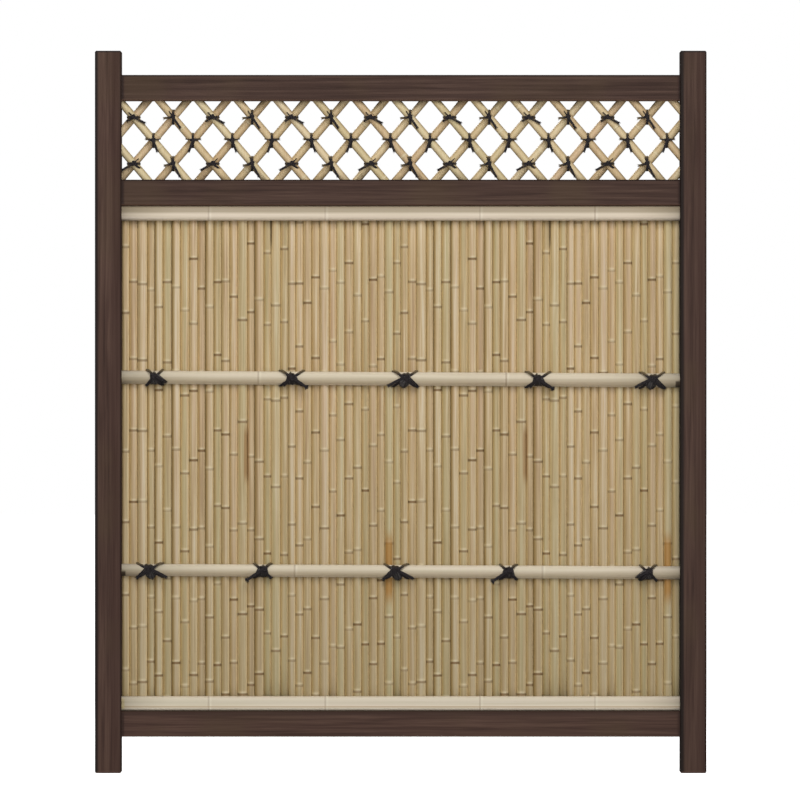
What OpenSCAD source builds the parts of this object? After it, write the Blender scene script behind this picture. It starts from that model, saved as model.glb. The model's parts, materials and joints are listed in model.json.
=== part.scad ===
// Bamboo fence panel: a stained timber frame that holds a wall of upright canes, split battens across
// them and a diamond lattice above, all lashed with palm rope.
// Millimetres, +Z up, +X to the right, the front faces -Y. The origin is on the ground, under the
// middle of the panel.

/* [Frame] */
// Width over both posts
overall_w = 1016; // [800:1:1400]
// Height of the posts
overall_h = 1200; // [1000:1:1600]
// Width of a post, seen from the front
post_w = 44; // [36:1:60]
// Depth of a post
post_d = 64; // [62:1:80]
// Height of a rail
rail_h = 43; // [36:1:60]
// Depth of a rail
rail_d = 46; // [42:1:60]
// Clear height under the bottom rail
ground_gap = 60; // [30:1:120]
// How far the posts stand above the top rail
post_head = 40; // [15:1:80]
// Clear height of the lattice opening
lattice_h = 131; // [115:1:160]
// Bevel along the timber edges
timber_bevel = 2; // [0.5:0.5:4]
// Length of a rail's stub tenon
tenon_l = 16; // [8:1:25]
// Thickness of a tenon
tenon_t = 18; // [10:1:24]
// Wood left between a rail's groove and its tenon
tenon_land = 2; // [1:0.5:4]

/* [Cane wall] */
// How deep the canes sit in the rails
wall_seat = 10; // [5:1:15]
// How far the canes stand in front of and behind the middle plane, by turns
cane_stagger = 1.9; // [1.7:0.1:3]
// How much neighbours cover each other, seen from the front
cane_lap = 0.04; // [0.02:0.01:0.1]
// Height of the ridge at a cane's joint
cane_ridge = 0.2; // [0.1:0.05:0.3]
// Half width of that ridge along the cane
cane_ridge_w = 3; // [2:0.5:5]
// Thickness of the wall that closes a cane at a joint
cane_septum = 2; // [1:0.5:4]
// Wall of a cane at its open ends
cane_wall = 2.6; // [2:0.2:4]

/* [Battens] */
// Radius of the top battens
batten_top_r = 11.8; // [9:0.1:13]
// Radius of the bottom battens
batten_bottom_r = 11.5; // [9:0.1:13]
// Height of the upper battens' middle above the ground
batten_upper_z = 655; // [560:1:760]
// How far the upper battens fall from left to right
batten_upper_fall = 5.5; // [0:0.5:12]
// Radius of the upper battens at the left and at the right
batten_upper_r = [11.0, 11.7]; // [9:0.1:13]
// Height of the lower battens' middle above the ground
batten_lower_z = 335; // [240:1:440]
// How far the lower battens fall from left to right
batten_lower_fall = 5; // [0:0.5:12]
// Radius of the lower battens at the left and at the right
batten_lower_r = [10.0, 11.0]; // [9:0.1:13]
// Wall of a split batten
batten_wall = 3.4; // [2:0.1:5]
// Height of the ridge at a batten's joint
batten_ridge = 0.8; // [0.2:0.1:1.5]
// Half width of that ridge along the batten
batten_ridge_w = 4; // [2:0.5:6]
// Thickness of the wall that closes a batten at a joint
batten_septum = 3; // [1:0.5:5]
// How deep the battens sit in the posts
batten_seat = 8; // [4:1:14]

/* [Lattice] */
// Diameter of a lattice cane
lattice_cane_d = 13.4; // [8:0.1:15]
// Height between two rows of crossings
lattice_row_h = 38.6; // [34:0.1:44]
// Distance from the left post to the first crossing of the top row
lattice_inset = 19.9; // [16:0.1:26]
// Distance from the right post to the last crossing of the middle row
lattice_end_inset = 21.4; // [16:0.1:26]
// How deep the lattice sits in the rails and posts
lattice_seat = 8; // [4:1:9]
// Wall of a lattice cane
lattice_wall = 2.4; // [1.5:0.1:4]

/* [Rope] */
// Thickness of the palm rope
rope_d = 2.8; // [2.2:0.1:3]
// Width of the doubled rope on the battens
fence_rope_w = 5.6; // [4.4:0.1:6]
// Width of the rope on the lattice, pressed flat
lattice_rope_w = 4.2; // [3:0.1:5]

/* [Fit] */
// Play between pieces that fit into each other
fit_gap = 0.3; // [0.1:0.05:0.5]
// Gap between pieces that bear on each other
seat_gap = 0.1; // [0.05:0.05:0.3]

/* [Hidden] */
$fn = 48;
// Cuts run this far past the faces that they open
overrun = 1;
// Outline of a rope, as shares of its half width and half thickness
rope_section_shares = [
    [1, 0.4], [0.72, 1], [-0.72, 1], [-1, 0.4], [-1, -0.4], [-0.72, -1], [0.72, -1], [1, -0.4],
];
rope_sides = len(rope_section_shares);
// Steps in a quarter turn of a swept rope
fence_steps = 3;
lattice_steps = 2;
// Largest turn between two rings of a rope's loop, in degrees
loop_step = 40;
// A swept arc's corners stand out this many times the radius that its sides keep clear of
function corner_scale(steps) = 1 / cos(45 / steps);

// Frame, worked out from the sizes above
inner_w = overall_w - 2 * post_w;
post_x = (inner_w + post_w) / 2;
rail_bottom_z = ground_gap;
rail_top_z = overall_h - post_head - rail_h;
rail_middle_z = rail_top_z - lattice_h - rail_h;
wall_low_z = rail_bottom_z + rail_h;
wall_high_z = rail_middle_z;
wall_h = wall_high_z - wall_low_z;
lattice_low_z = rail_middle_z + rail_h;
tenon_inset = max(wall_seat, lattice_seat) + tenon_land;

// Canes of the wall. The same row of 34 is laid twice. Each entry holds the cane's share of the mean
// width, the height of one joint as a share of the wall's height, 1 where the cane stands upside down,
// and its internode length as a share of the usual one.
cane_row_shares = [
    [0.87, 0.513, 1, 0.98], [1.04, 0.555, 0, 0.90], [1.16, 0.554, 0, 0.89], [0.92, 0.515, 0, 0.99],
    [0.97, 0.484, 0, 1.00], [1.11, 0.543, 0, 0.94], [1.03, 0.517, 0, 1.00], [1.13, 0.470, 0, 1.03],
    [0.99, 0.496, 1, 0.96], [0.94, 0.515, 0, 1.00], [1.01, 0.478, 0, 1.02], [0.97, 0.555, 1, 1.06],
    [0.97, 0.547, 0, 0.93], [1.03, 0.507, 0, 0.98], [1.13, 0.572, 0, 1.27], [0.90, 0.503, 1, 1.02],
    [1.11, 0.493, 0, 1.01], [0.93, 0.464, 1, 1.06], [1.10, 0.443, 0, 1.16], [0.97, 0.464, 1, 1.08],
    [0.87, 0.523, 0, 1.00], [0.99, 0.460, 1, 0.92], [0.95, 0.491, 0, 1.00], [1.05, 0.551, 0, 0.94],
    [1.10, 0.515, 0, 1.00], [0.96, 0.434, 1, 1.04], [0.94, 0.536, 0, 0.96], [1.09, 0.460, 1, 1.02],
    [0.97, 0.481, 0, 1.08], [0.95, 0.436, 0, 1.09], [0.97, 0.524, 0, 1.02], [0.94, 0.546, 0, 0.96],
    [1.03, 0.492, 0, 1.06], [0.92, 0.451, 1, 1.04],
];
row_length = len(cane_row_shares);
row_repeats = 2;
cane_count = row_repeats * row_length;
canes_per_node = 4;
// Usual internode at the foot and at the head of the wall, for a cane that stands as it grew
standing_internode = [91, 165];
// The same for a cane that stands upside down
turned_internode = [134, 106];

function cane_shares(i) = cane_row_shares[i % row_length];
share_total = row_repeats * sum([for (s = cane_row_shares) s[0]]);
// The outer canes' ridges bear on the posts
cane_margin = cane_ridge + seat_gap;
cane_unit = (inner_w - 2 * cane_margin + (cane_count - 1) * cane_lap) / share_total;
function cane_d(i) = cane_shares(i)[0] * cane_unit;
cane_starts = [
    for (i = 0, x = cane_margin - inner_w / 2; i < cane_count; x = x + cane_d(i) - cane_lap, i = i + 1) x
];
function cane_x(i) = cane_starts[i] + cane_d(i) / 2;
function cane_y(i) = (i % 2 == 0 ? -1 : 1) * cane_stagger;
function seam_x(i) = cane_starts[i] + cane_lap / 2;
cane_max_d = max([for (i = [0:row_length - 1]) cane_d(i)]);
cane_foot_z = wall_low_z - wall_seat + seat_gap;
cane_head_z = wall_high_z + wall_seat - seat_gap;
// Half the thickness of the cane wall, over its ridges
wall_half = cane_stagger + cane_max_d / 2 + cane_ridge;
batten_y = wall_half + seat_gap;

// Joints of one cane, going up and down from the one whose height is given
function internode(z, turned) = let (
    pair = turned ? turned_internode : standing_internode
) pair[0] + (pair[1] - pair[0]) * (z - wall_low_z) / wall_h;
function joints_up(z, turned, scale) = z > cane_head_z - 2 * cane_ridge_w ? [] :
    concat([z], joints_up(z + scale * internode(z, turned), turned, scale));
function joints_down(z, turned, scale) = z < cane_foot_z + 2 * cane_ridge_w ? [] :
    concat(joints_down(z - scale * internode(z, turned), turned, scale), [z]);
function cane_joints(i) = let (
    shares = cane_shares(i),
    z = wall_low_z + shares[1] * wall_h,
    turned = shares[2] == 1
) concat(
    joints_down(z - shares[3] * internode(z, turned), turned, shares[3]),
    joints_up(z, turned, shares[3])
);

// Battens: name, height of the middle, fall from left to right, radius at the left, radius at the right
// and the places of the joints as shares of the clear width
batten_kinds = [
    ["top", wall_high_z - batten_top_r - batten_ridge - seat_gap, 0, batten_top_r, batten_top_r,
        [0.156, 0.365, 0.642, 0.848]],
    ["upper", batten_upper_z, batten_upper_fall, batten_upper_r[0], batten_upper_r[1], [0.245, 0.689]],
    ["lower", batten_lower_z, batten_lower_fall, batten_lower_r[0], batten_lower_r[1], [0.310, 0.754]],
    ["bottom", wall_low_z + batten_bottom_r + batten_ridge + seat_gap, 0, batten_bottom_r, batten_bottom_r,
        [0.156, 0.365, 0.642, 0.848]],
];
batten_l = inner_w + 2 * (batten_seat - fit_gap);
function batten_slope(b) = atan(b[2] / inner_w);
function batten_z(b, x) = b[1] - b[2] * x / inner_w;
function batten_r(b, x) = b[3] + (b[4] - b[3]) * (x / inner_w + 0.5);

// Lashings on the battens. Each entry holds the batten's place in the list above, the two seams that the
// rope goes through, 1 where its long tail hangs to the right and -1 where it hangs to the left, and for
// its two tails the heading in degrees and the length as a share of the rope's thickness.
// A rope's flat facets dip a little where it twists, hence the two seat gaps.
rope_seat = rope_d / 2 + fit_gap + 2 * seat_gap;
// Strands that cross lie this far apart
rope_lift = rope_d + seat_gap;
tied_tail_shares = [[-32, 13.5], [60, 1.2]];
fanned_tail_shares = [[-26, 10], [60, 1.2]];
hanging_tail_shares = [[-158, 7.4], [-85, 5.4]];
upper_lashings = [
    [1, [3, 5], 1, fanned_tail_shares],
    [1, [19, 22], 1, tied_tail_shares],
    [1, [33, 36], 1, hanging_tail_shares],
    [1, [49, 52], 1, tied_tail_shares],
    [1, [63, 66], 1, hanging_tail_shares],
];
lower_lashings = [
    [2, [2, 5], -1, hanging_tail_shares],
    [2, [16, 18], -1, tied_tail_shares],
    [2, [32, 35], -1, hanging_tail_shares],
    [2, [46, 48], -1, tied_tail_shares],
    [2, [63, 65], -1, fanned_tail_shares],
];
all_lashings = concat(upper_lashings, lower_lashings);
function lashing_x(l) = (seam_x(l[1][0]) + seam_x(l[1][1])) / 2;
function lashing_r(l) = (batten_r(batten_kinds[l[0]], lashing_x(l)) + rope_seat) * corner_scale(fence_steps);
function lashing_z(l) = batten_z(batten_kinds[l[0]], lashing_x(l));

// Lattice
lattice_cane_count = 16;
lattice_groups = lattice_cane_count / canes_per_node;
lattice_knot_count = 14;
lattice_pitch = (inner_w - lattice_inset - lattice_end_inset) / (lattice_knot_count - 0.5);
lattice_first_x = -inner_w / 2 + lattice_inset;
lattice_middle_z = lattice_low_z + lattice_h / 2;
lattice_angle = atan(lattice_row_h / (lattice_pitch / 2));
lattice_cane_l = 2 * (lattice_h + lattice_cane_d + 2 * lattice_seat) / sin(lattice_angle);
// How far the crossing canes reach in the rope's way, at an angle above the horizontal
function lattice_reach(a) = let (flat = rope_section_shares[1][0] * lattice_rope_w / 2)
    lattice_cane_d / 2 * (cos(a) + sqrt(pow(cos(a), 2) + pow(sin(a) / cos(lattice_angle), 2)))
    + flat * tan(lattice_angle) * sin(a);
// The corners of a lattice lashing's loop stand this far from the middle of the crossing
lattice_turn = 90 / lattice_steps;
lattice_loop_r = (max([for (a = [lattice_turn / 2:lattice_turn:90]) lattice_reach(a)]) + rope_seat)
    * corner_scale(lattice_steps);
// Tips of the short and the long tail as shares of the rope's thickness, by turns along the top, middle
// and bottom row
lattice_tail_shares = [
    [[[-3.6, -3.0], [7.1, -3.6]], [[-4.8, -0.6], [4.4, -5.9]]],
    [[[-4.1, 0.9], [2.1, -6.5]], [[4.1, 0.9], [-2.1, -6.5]]],
    [[[3.6, -3.0], [-6.3, -3.2]], [[-4.5, -0.9], [4.4, -8.0]]],
];

function cane_node(i) = str("fence_canes_", i < 10 ? "0" : "", i);

function sum(list, i = 0) = i == len(list) ? 0 : list[i] + sum(list, i + 1);
function unit(v) = v / norm(v);

// A bar along X, centred on the axis, with all four long edges bevelled
module bevelled_bar(length, depth, height, bevel) {
    half_d = depth / 2;
    half_h = height / 2;
    rotate([90, 0, 90])
    translate([0, 0, -length / 2])
    linear_extrude(length)
    polygon([
        [-half_d + bevel, -half_h], [half_d - bevel, -half_h], [half_d, -half_h + bevel],
        [half_d, half_h - bevel], [half_d - bevel, half_h], [-half_d + bevel, half_h],
        [-half_d, half_h - bevel], [-half_d, -half_h + bevel],
    ]);
}

// A post stands on the ground, with its head and foot bevelled too. side is -1 for the left one.
module post(side) {
    color("#463229")
    difference() {
        translate([side * post_x, 0, overall_h / 2])
        intersection() {
            rotate([0, 90, 0]) bevelled_bar(overall_h, post_d, post_w, timber_bevel);
            bevelled_bar(post_w, post_d, overall_h, timber_bevel);
            rotate([0, 0, 90]) bevelled_bar(post_d, post_w, overall_h, timber_bevel);
        }
        for (z = [rail_bottom_z, rail_middle_z, rail_top_z]) mortise(side, z);
        for (b = batten_kinds) for (turn = [0, 180]) batten_pocket(b, turn);
        lattice_space();
    }
}

// The hole that takes a rail's tenon
module mortise(side, z) {
    depth = tenon_l + fit_gap;
    height = rail_h - 2 * tenon_inset + 2 * fit_gap;
    translate([side * (inner_w + depth - overrun) / 2, 0, z + rail_h / 2])
    cube([depth + overrun, tenon_t + 2 * fit_gap, height], center = true);
}

// A rail between the posts, with a stub tenon at each end. z is the height of its underside.
module rail(z) {
    translate([0, 0, z + rail_h / 2]) {
        bevelled_bar(inner_w, rail_d, rail_h, timber_bevel);
        cube([inner_w + 2 * tenon_l, tenon_t, rail_h - 2 * tenon_inset], center = true);
    }
}

// The groove that takes the canes' ends, from the given height up
module wall_groove(z) {
    translate([-inner_w / 2, -wall_half - fit_gap, z])
    cube([inner_w, 2 * (wall_half + fit_gap), wall_seat + overrun]);
}

// The space that the lattice fills, with the grooves around it
module lattice_space() {
    depth = 2 * (lattice_cane_d + fit_gap);
    translate([-inner_w / 2 - lattice_seat, -depth / 2, lattice_low_z - lattice_seat])
    cube([inner_w + 2 * lattice_seat, depth, lattice_h + 2 * lattice_seat]);
}

module top_rail() {
    color("#4a362c")
    difference() {
        rail(rail_top_z);
        lattice_space();
    }
}

module middle_rail() {
    color("#4a362c")
    difference() {
        rail(rail_middle_z);
        wall_groove(rail_middle_z - overrun);
        lattice_space();
    }
}

module bottom_rail() {
    color("#4a362c")
    difference() {
        rail(rail_bottom_z);
        wall_groove(wall_low_z - wall_seat);
    }
}

// Outline of a ridge at one joint of a cane, going up: a swelling, the scar of the sheath, the ridge
function joint_outline(r, z, ridge, half_w) = [
    [r, z - half_w],
    [r + ridge * 0.7, z - half_w * 0.3],
    [r + ridge * 0.2, z],
    [r + ridge, z + half_w * 0.4],
    [r, z + half_w],
];

// One cane of the wall: a culm with a ridge at each joint, hollow from each cut end to the first joint
module culm(r, foot, head, joints) {
    bore = r - cane_wall;
    first = joints[0] - cane_septum / 2;
    last = joints[len(joints) - 1] + cane_septum / 2;
    rotate_extrude()
    polygon(concat(
        [[0, first], [bore, first], [bore, foot], [r, foot]],
        [for (z = joints) each joint_outline(r, z, cane_ridge, cane_ridge_w)],
        [[r, head], [bore, head], [bore, last], [0, last]]
    ));
}

// Cane i of the wall, with the slots that the rope goes through in its flanks
module fence_cane(i) {
    difference() {
        translate([cane_x(i), cane_y(i), 0])
        culm(cane_d(i) / 2, cane_foot_z, cane_head_z, cane_joints(i));
        for (l = all_lashings) for (seam = l[1]) if (seam == i || seam == i + 1)
            for (turn = [-1, 1]) rope_slot(seam_x(seam), lashing_z(l) + turn * lashing_r(l));
    }
}

module rope_slot(x, z) {
    length = 2 * (wall_half + overrun);
    translate([x, 0, z])
    cube([fence_rope_w + 2 * seat_gap, length, rope_d + 2 * seat_gap], center = true);
}

module fence_canes(group) {
    color(group % 2 == 0 ? "#bfa67c" : "#c9b48a")
    for (i = [0:canes_per_node - 1]) fence_cane(canes_per_node * group + i);
}

// Half section of a split batten, along its axis: the outside with its ridges, the hollow with its walls
module batten_section(b) {
    half_l = batten_l / 2;
    joints = [for (s = b[5]) (s - 0.5) * inner_w];
    hollows = concat([-half_l], [for (x = joints) each [x - batten_septum / 2, x + batten_septum / 2]],
        [half_l]);
    function outside(x) = batten_r(b, x);
    polygon(concat(
        [[outside(-half_l), -half_l]],
        [for (x = joints) each joint_outline(outside(x), x, batten_ridge, batten_ridge_w)],
        [[outside(half_l), half_l]],
        [for (i = [len(hollows) - 1:-1:0]) let (
            x = hollows[i],
            inside = [outside(x) - batten_wall, x],
            axis = [0, x]
        ) each i == len(hollows) - 1 || i == 0 ? [inside] : i % 2 == 0 ? [inside, axis] : [axis, inside]]
    ));
}

// Puts a half-round that runs along Z and bulges towards +Y in a batten's place. turn is 180 in front.
module place_batten(b, turn) {
    translate([0, (turn == 180 ? -1 : 1) * batten_y, b[1]])
    rotate([0, batten_slope(b), 0])
    rotate([turn, 0, 0])
    rotate([0, 90, 0])
    children();
}

module batten(b, turn) {
    color("#d9cbb0")
    place_batten(b, turn)
    rotate_extrude(angle = 180)
    batten_section(b);
}

// The pocket in a post that takes a batten's end
module batten_pocket(b, turn) {
    place_batten(b, turn)
    for (side = [-1, 1]) {
        pocket_r = batten_r(b, side * inner_w / 2) + 2 * fit_gap;
        translate([0, -fit_gap, side * (inner_w + batten_seat - overrun) / 2])
        intersection() {
            cylinder(h = batten_seat + overrun, r = pocket_r, center = true);
            translate([-pocket_r, 0, -batten_seat])
            cube([2 * pocket_r, pocket_r, 2 * batten_seat]);
        }
    }
}

// Rope swept along a list of points. Each point has a normal, which the flat side of the rope faces.
function tangent(p, i) = unit(p[min(i + 1, len(p) - 1)] - p[max(i - 1, 0)]);

module rope(points, normals, width) {
    last = len(points) - 1;
    rings = [for (i = [0:last]) let (
        t = tangent(points, i),
        n = unit(normals[i] - (normals[i] * t) * t),
        m = cross(n, t)
    ) for (s = rope_section_shares) points[i] + width / 2 * s[0] * m + rope_d / 2 * s[1] * n];
    polyhedron(rings, concat(
        [[for (k = [0:rope_sides - 1]) k]],
        [for (i = [0:last - 1]) for (k = [0:rope_sides - 1]) let (
            a = i * rope_sides + k,
            b = i * rope_sides + (k + 1) % rope_sides
        ) each [[a, a + rope_sides, b], [b, a + rope_sides, b + rope_sides]]],
        [[for (k = [rope_sides - 1:-1:0]) last * rope_sides + k]]
    ));
}

// A fence lashing's route around the front batten, the wall and the rear batten, as pairs of a point and
// its normal. The strands lie on a cylinder around each batten. u goes from -1 at the slot above to 1 at
// the slot below. lift is how far the strand stands out in the middle, and side is -1 in front.
function over_batten(u, x, r, lift, side) = let (
    a = 90 * u,
    out = r + lift * (1 - pow(sin(a), 4))
) [[x, side * (batten_y + out * cos(a)), -out * sin(a)], [0, side * cos(a), -sin(a)]];

// A strand's turn in front of the knot, from one heading to another, with its depth changing from y0 to y1
function turn(start, from, to, radius, y0, y1) = let (
    side = to < from ? -1 : 1,
    middle = [start[0] - side * radius * sin(from), start[2] + side * radius * cos(from)],
    steps = max(1, ceil(abs(to - from) / loop_step))
) [for (k = [1:steps]) let (h = from + (to - from) * k / steps) [
    [middle[0] + side * radius * sin(h), y0 + (y1 - y0) * k / steps, middle[1] - side * radius * cos(h)],
    [0, -1, 0]
]];
function end_of(path) = path[len(path) - 1][0];
function tail_end(start, heading, length) = [
    [start[0] + length * cos(heading), start[1], start[2] + length * sin(heading)], [0, -1, 0]
];
function reversed(list) = [for (i = [len(list) - 1:-1:0]) list[i]];

// The strand out of the slot above left, over the middle and on to its tail
function first_strand(half_x, r, tail) = let (
    lift = 2 * rope_lift,
    arm = [for (u = [-1, -2 / 3, -1 / 3, -1 / 6]) over_batten(u, half_x * sin(90 * u), r, lift, -1)],
    near = -batten_y - r - lift,
    bend = turn(end_of(arm), -atan((r + lift) / half_x), tail[0], 0.55 * fence_rope_w, near, near)
) concat(arm, bend, [tail_end(end_of(bend), tail[0], tail[1] * rope_d)]);

// The strand out of the slot below right, over the middle, round the top of the knot and on to its tail
function last_strand(half_x, r, tail) = let (
    arm = [for (u = [1, 2 / 3, 1 / 3, -1 / 12]) over_batten(u, half_x * sin(90 * u), r, rope_lift, -1)],
    near = -batten_y - r - rope_lift,
    radius = 0.65 * fence_rope_w,
    bend = turn(end_of(arm), 180 - atan((r + rope_lift) / half_x), max(tail[0], 0), radius, near, near),
    drop = tail[0] < 0 ? turn(end_of(bend), 0, tail[0], radius, near, near - rope_lift) : [],
    path = concat(arm, bend, drop)
) concat(path, [tail_end(end_of(path), tail[0], tail[1] * rope_d)]);

function lashing_route(l) = let (
    r = lashing_r(l),
    half_x = (seam_x(l[1][1]) - seam_x(l[1][0])) / 2,
    steps = [for (i = [-fence_steps:fence_steps]) i / fence_steps]
) concat(
    reversed(first_strand(half_x, r, l[3][0])),
    // down behind on the left, and through to the front below
    [for (u = steps) over_batten(u, -half_x, r, 0, 1)],
    // over the front batten, up to the right
    [for (u = -steps) over_batten(u, -half_x * sin(90 * u), r, 0, -1)],
    // down behind on the right, and through to the front below
    [for (u = steps) over_batten(u, half_x, r, 0, 1)],
    last_strand(half_x, r, l[3][1])
);

module fence_lashing(l) {
    route = lashing_route(l);
    color("#2c2829")
    translate([lashing_x(l), 0, lashing_z(l)])
    rope([for (p = route) [l[2] * p[0][0], p[0][1], p[0][2]]], [for (p = route) p[1]], fence_rope_w);
}

// Lattice cane k leans to the right where lean is 1 and to the left where it is -1. It goes through
// the middle row's crossing k.
module lattice_cane(k, lean) {
    x = lattice_first_x + (k - 0.5) * lattice_pitch;
    translate([x, lean * (lattice_cane_d + seat_gap) / 2, lattice_middle_z])
    rotate([0, lean * (90 - lattice_angle), 0])
    difference() {
        cylinder(h = lattice_cane_l, d = lattice_cane_d, center = true);
        cylinder(h = lattice_cane_l + overrun, d = lattice_cane_d - 2 * lattice_wall, center = true);
    }
}

// The canes are cut off level with the bottom of the grooves
module lattice_bounds() {
    reach = lattice_seat - fit_gap;
    depth = 3 * lattice_cane_d;
    translate([-inner_w / 2 - reach, -depth / 2, lattice_low_z - reach])
    cube([inner_w + 2 * reach, depth, lattice_h + 2 * reach]);
}

module lattice_canes(group, lean) {
    color(lean == 1 ? "#ad9469" : "#b9a276")
    for (k = [0:canes_per_node - 1])
    intersection() {
        lattice_cane(canes_per_node * group + k, lean);
        lattice_bounds();
    }
}

// A lattice lashing: the short tail, one turn down, behind and over the top, and the long tail in front
module lattice_lashing(tips) {
    turns = [for (a = [0:lattice_turn:359]) a];
    front = lattice_loop_r + rope_lift;
    short = rope_d * tips[0];
    long = rope_d * tips[1];
    rope(
        concat(
            [[short[0], -lattice_loop_r, short[1]]],
            [for (a = turns) lattice_loop_r * [0, -cos(a), -sin(a)]],
            [[0, -front, 0], [long[0], -front, long[1]]]
        ),
        concat([[0, -1, 0]], [for (a = turns) [0, -cos(a), -sin(a)]], [[0, -1, 0], [0, -1, 0]]),
        lattice_rope_w
    );
}

// Row 0 is the top one. The middle row stands half a pitch to the right.
module lattice_lashings(row) {
    color("#2a2627")
    for (k = [0:lattice_knot_count - 1])
    translate([
        lattice_first_x + (k + (row == 1 ? 0.5 : 0)) * lattice_pitch,
        0,
        lattice_middle_z + (1 - row) * lattice_row_h
    ])
    lattice_lashing(lattice_tail_shares[row][k % 2]);
}

post(-1);  // left_post
post(1);  // right_post
top_rail();
middle_rail();
bottom_rail();
for (b = batten_kinds) batten(b, 180);
for (b = batten_kinds) batten(b, 0);
for (i = [1:len(upper_lashings)])
    fence_lashing(upper_lashings[i - 1]);
for (i = [1:len(lower_lashings)])
    fence_lashing(lower_lashings[i - 1]);
for (i = [1:lattice_groups])
    lattice_canes(i - 1, -1);
for (i = [1:lattice_groups])
    lattice_canes(i - 1, 1);
lattice_lashings(0);  // lattice_lashings_top
lattice_lashings(1);  // lattice_lashings_middle
lattice_lashings(2);  // lattice_lashings_bottom
for (i = [1:cane_count / canes_per_node])
    fence_canes(i - 1);
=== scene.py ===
"""Looks of the bamboo fence panel: stained frame, cane wall, split battens, lattice and palm rope."""

import json
import logging
import math
import random
from dataclasses import dataclass, field
from enum import Enum

import bpy
import numpy as np
from mathutils import Matrix, Vector

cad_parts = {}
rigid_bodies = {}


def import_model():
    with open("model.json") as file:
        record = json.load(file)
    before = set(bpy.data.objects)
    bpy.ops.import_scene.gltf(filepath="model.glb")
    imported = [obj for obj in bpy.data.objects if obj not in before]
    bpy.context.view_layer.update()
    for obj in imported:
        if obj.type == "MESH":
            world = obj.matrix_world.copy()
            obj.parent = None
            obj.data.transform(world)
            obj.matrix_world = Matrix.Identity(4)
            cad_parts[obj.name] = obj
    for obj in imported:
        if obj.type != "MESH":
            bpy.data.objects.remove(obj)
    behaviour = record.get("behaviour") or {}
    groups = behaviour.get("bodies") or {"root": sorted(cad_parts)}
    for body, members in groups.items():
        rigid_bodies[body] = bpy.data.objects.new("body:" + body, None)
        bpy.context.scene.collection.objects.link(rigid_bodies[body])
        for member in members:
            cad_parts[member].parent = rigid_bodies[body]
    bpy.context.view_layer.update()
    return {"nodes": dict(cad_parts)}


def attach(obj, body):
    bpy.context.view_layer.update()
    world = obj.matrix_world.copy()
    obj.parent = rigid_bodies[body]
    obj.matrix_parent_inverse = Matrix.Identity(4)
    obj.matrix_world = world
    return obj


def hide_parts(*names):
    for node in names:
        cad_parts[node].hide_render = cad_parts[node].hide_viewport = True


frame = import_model()

LOG = logging.getLogger("fence_panel")
MM = 0.001

# Sizes in metres, as the construction has them
INNER_W = 0.928
POST_W = 0.044
POST_D = 0.064
RAIL_D = 0.046
RAIL_H = 0.043
PANEL_H = 1.2
POST_X = (INNER_W + POST_W) / 2
RAIL_Z = {"bottom_rail": 0.060, "middle_rail": 0.943, "top_rail": 1.117}
WALL_LOW = 0.103
WALL_HIGH = 0.943
WALL_SEAT = 0.010
SEAT_GAP = 0.0001
CANE_STAGGER = 0.0019
CANE_LAP = 0.00004
CANE_RIDGE = 0.0002
CANE_SPREAD = 0.00012
BATTEN_RIDGE = 0.0008
ROPE_D = 0.0028
FENCE_ROPE_W = 0.0048
# Painted shade and light across a batten, from its underside (0) to its top (1): darker over the lower half
PAINTED_BATTEN_SHADE = (
    (0.0, "#ffffff"), (0.12, "#dcd4c8"), (0.3, "#d6cfc4"), (0.5, "#dad6cf"), (0.7, "#e8e6e2"),
    (1.0, "#eeeeee"),
)
LATTICE_LOW = 0.986
LATTICE_H = 0.131
LATTICE_SEAT = 0.0077
LATTICE_CANE_R = 0.0067
LATTICE_ROW_H = 0.0386
LATTICE_LEFT = 0.0199
LATTICE_RIGHT = 0.0214
LATTICE_PITCH = (INNER_W - LATTICE_LEFT - LATTICE_RIGHT) / 13.5
LATTICE_FIRST_X = -INNER_W / 2 + LATTICE_LEFT
LATTICE_MIDDLE_Z = LATTICE_LOW + LATTICE_H / 2

# What each point of a culm's mesh says to its finish
CULM_VALUES = ("tone", "tint", "joint", "above", "scar", "flank", "seam", "around")

# Index of refraction of wood, bamboo and palm fibre
FIBRE_IOR = 1.45

FRONT = np.array([0.0, -1.0, 0.0])
Socket = bpy.types.NodeSocket


class Grain(Enum):
    """The way the wood of a bar runs."""

    ALONG_X = "x"
    ALONG_Z = "z"


@dataclass(frozen=True)
class KnotShape:
    """One way of tying, in millimetres from the middle of the knot, with its long side to the right.

    Args:
        tails: Heading in degrees and length in rope thicknesses of the two ends.
        lump: Place (x, z) and radius of the overhand knot.
        hem: Line down to which the loose fibres hang.
        fibres: Number of loose fibres.
        grey: How many of them are bleached, from 0 to 1.
        legs: Place (x, z) and half width of further ends.
        tuft: Number, length and spread of the fibres at the long end.
    """

    tails: tuple[tuple[float, float], tuple[float, float]]
    lump: tuple[float, float, float]
    hem: tuple[tuple[float, float], ...]
    fibres: int
    grey: float
    legs: tuple[tuple[float, float, float], ...]
    tuft: tuple[int, float, float]


class Tie(Enum):
    """The three ways in which the lashings on the battens are tied off."""

    TIED = KnotShape(
        ((-32.0, 12.6), (60.0, 1.2)), (-0.3, 2.0, 5.6), ((-11.5, -11.4), (15.0, -11.8)), 210, 0.10,
        ((-12.6, -12.0, 2.2),), (110, 4.6, 1.0),
    )
    FANNED = KnotShape(
        ((-26.0, 7.0), (60.0, 1.2)), (-1.5, 2.0, 4.8),
        ((-7.0, -12.4), (15.0, -12.8), (22.5, -8.8)), 190, 0.5,
        ((-13.4, -12.8, 2.1),), (30, 4.0, 0.6),
    )
    HANGING = KnotShape(
        ((-154.0, 8.6), (-85.0, 3.2)), (3.3, 5.4, 4.4),
        ((-11.0, -8.5), (-8.5, -14.0), (-3.7, -16.8), (1.8, -14.8), (6.5, -10.5)), 190, 0.6,
        ((21.5, -13.2, 2.6),), (14, 3.0, 0.3),
    )


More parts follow.
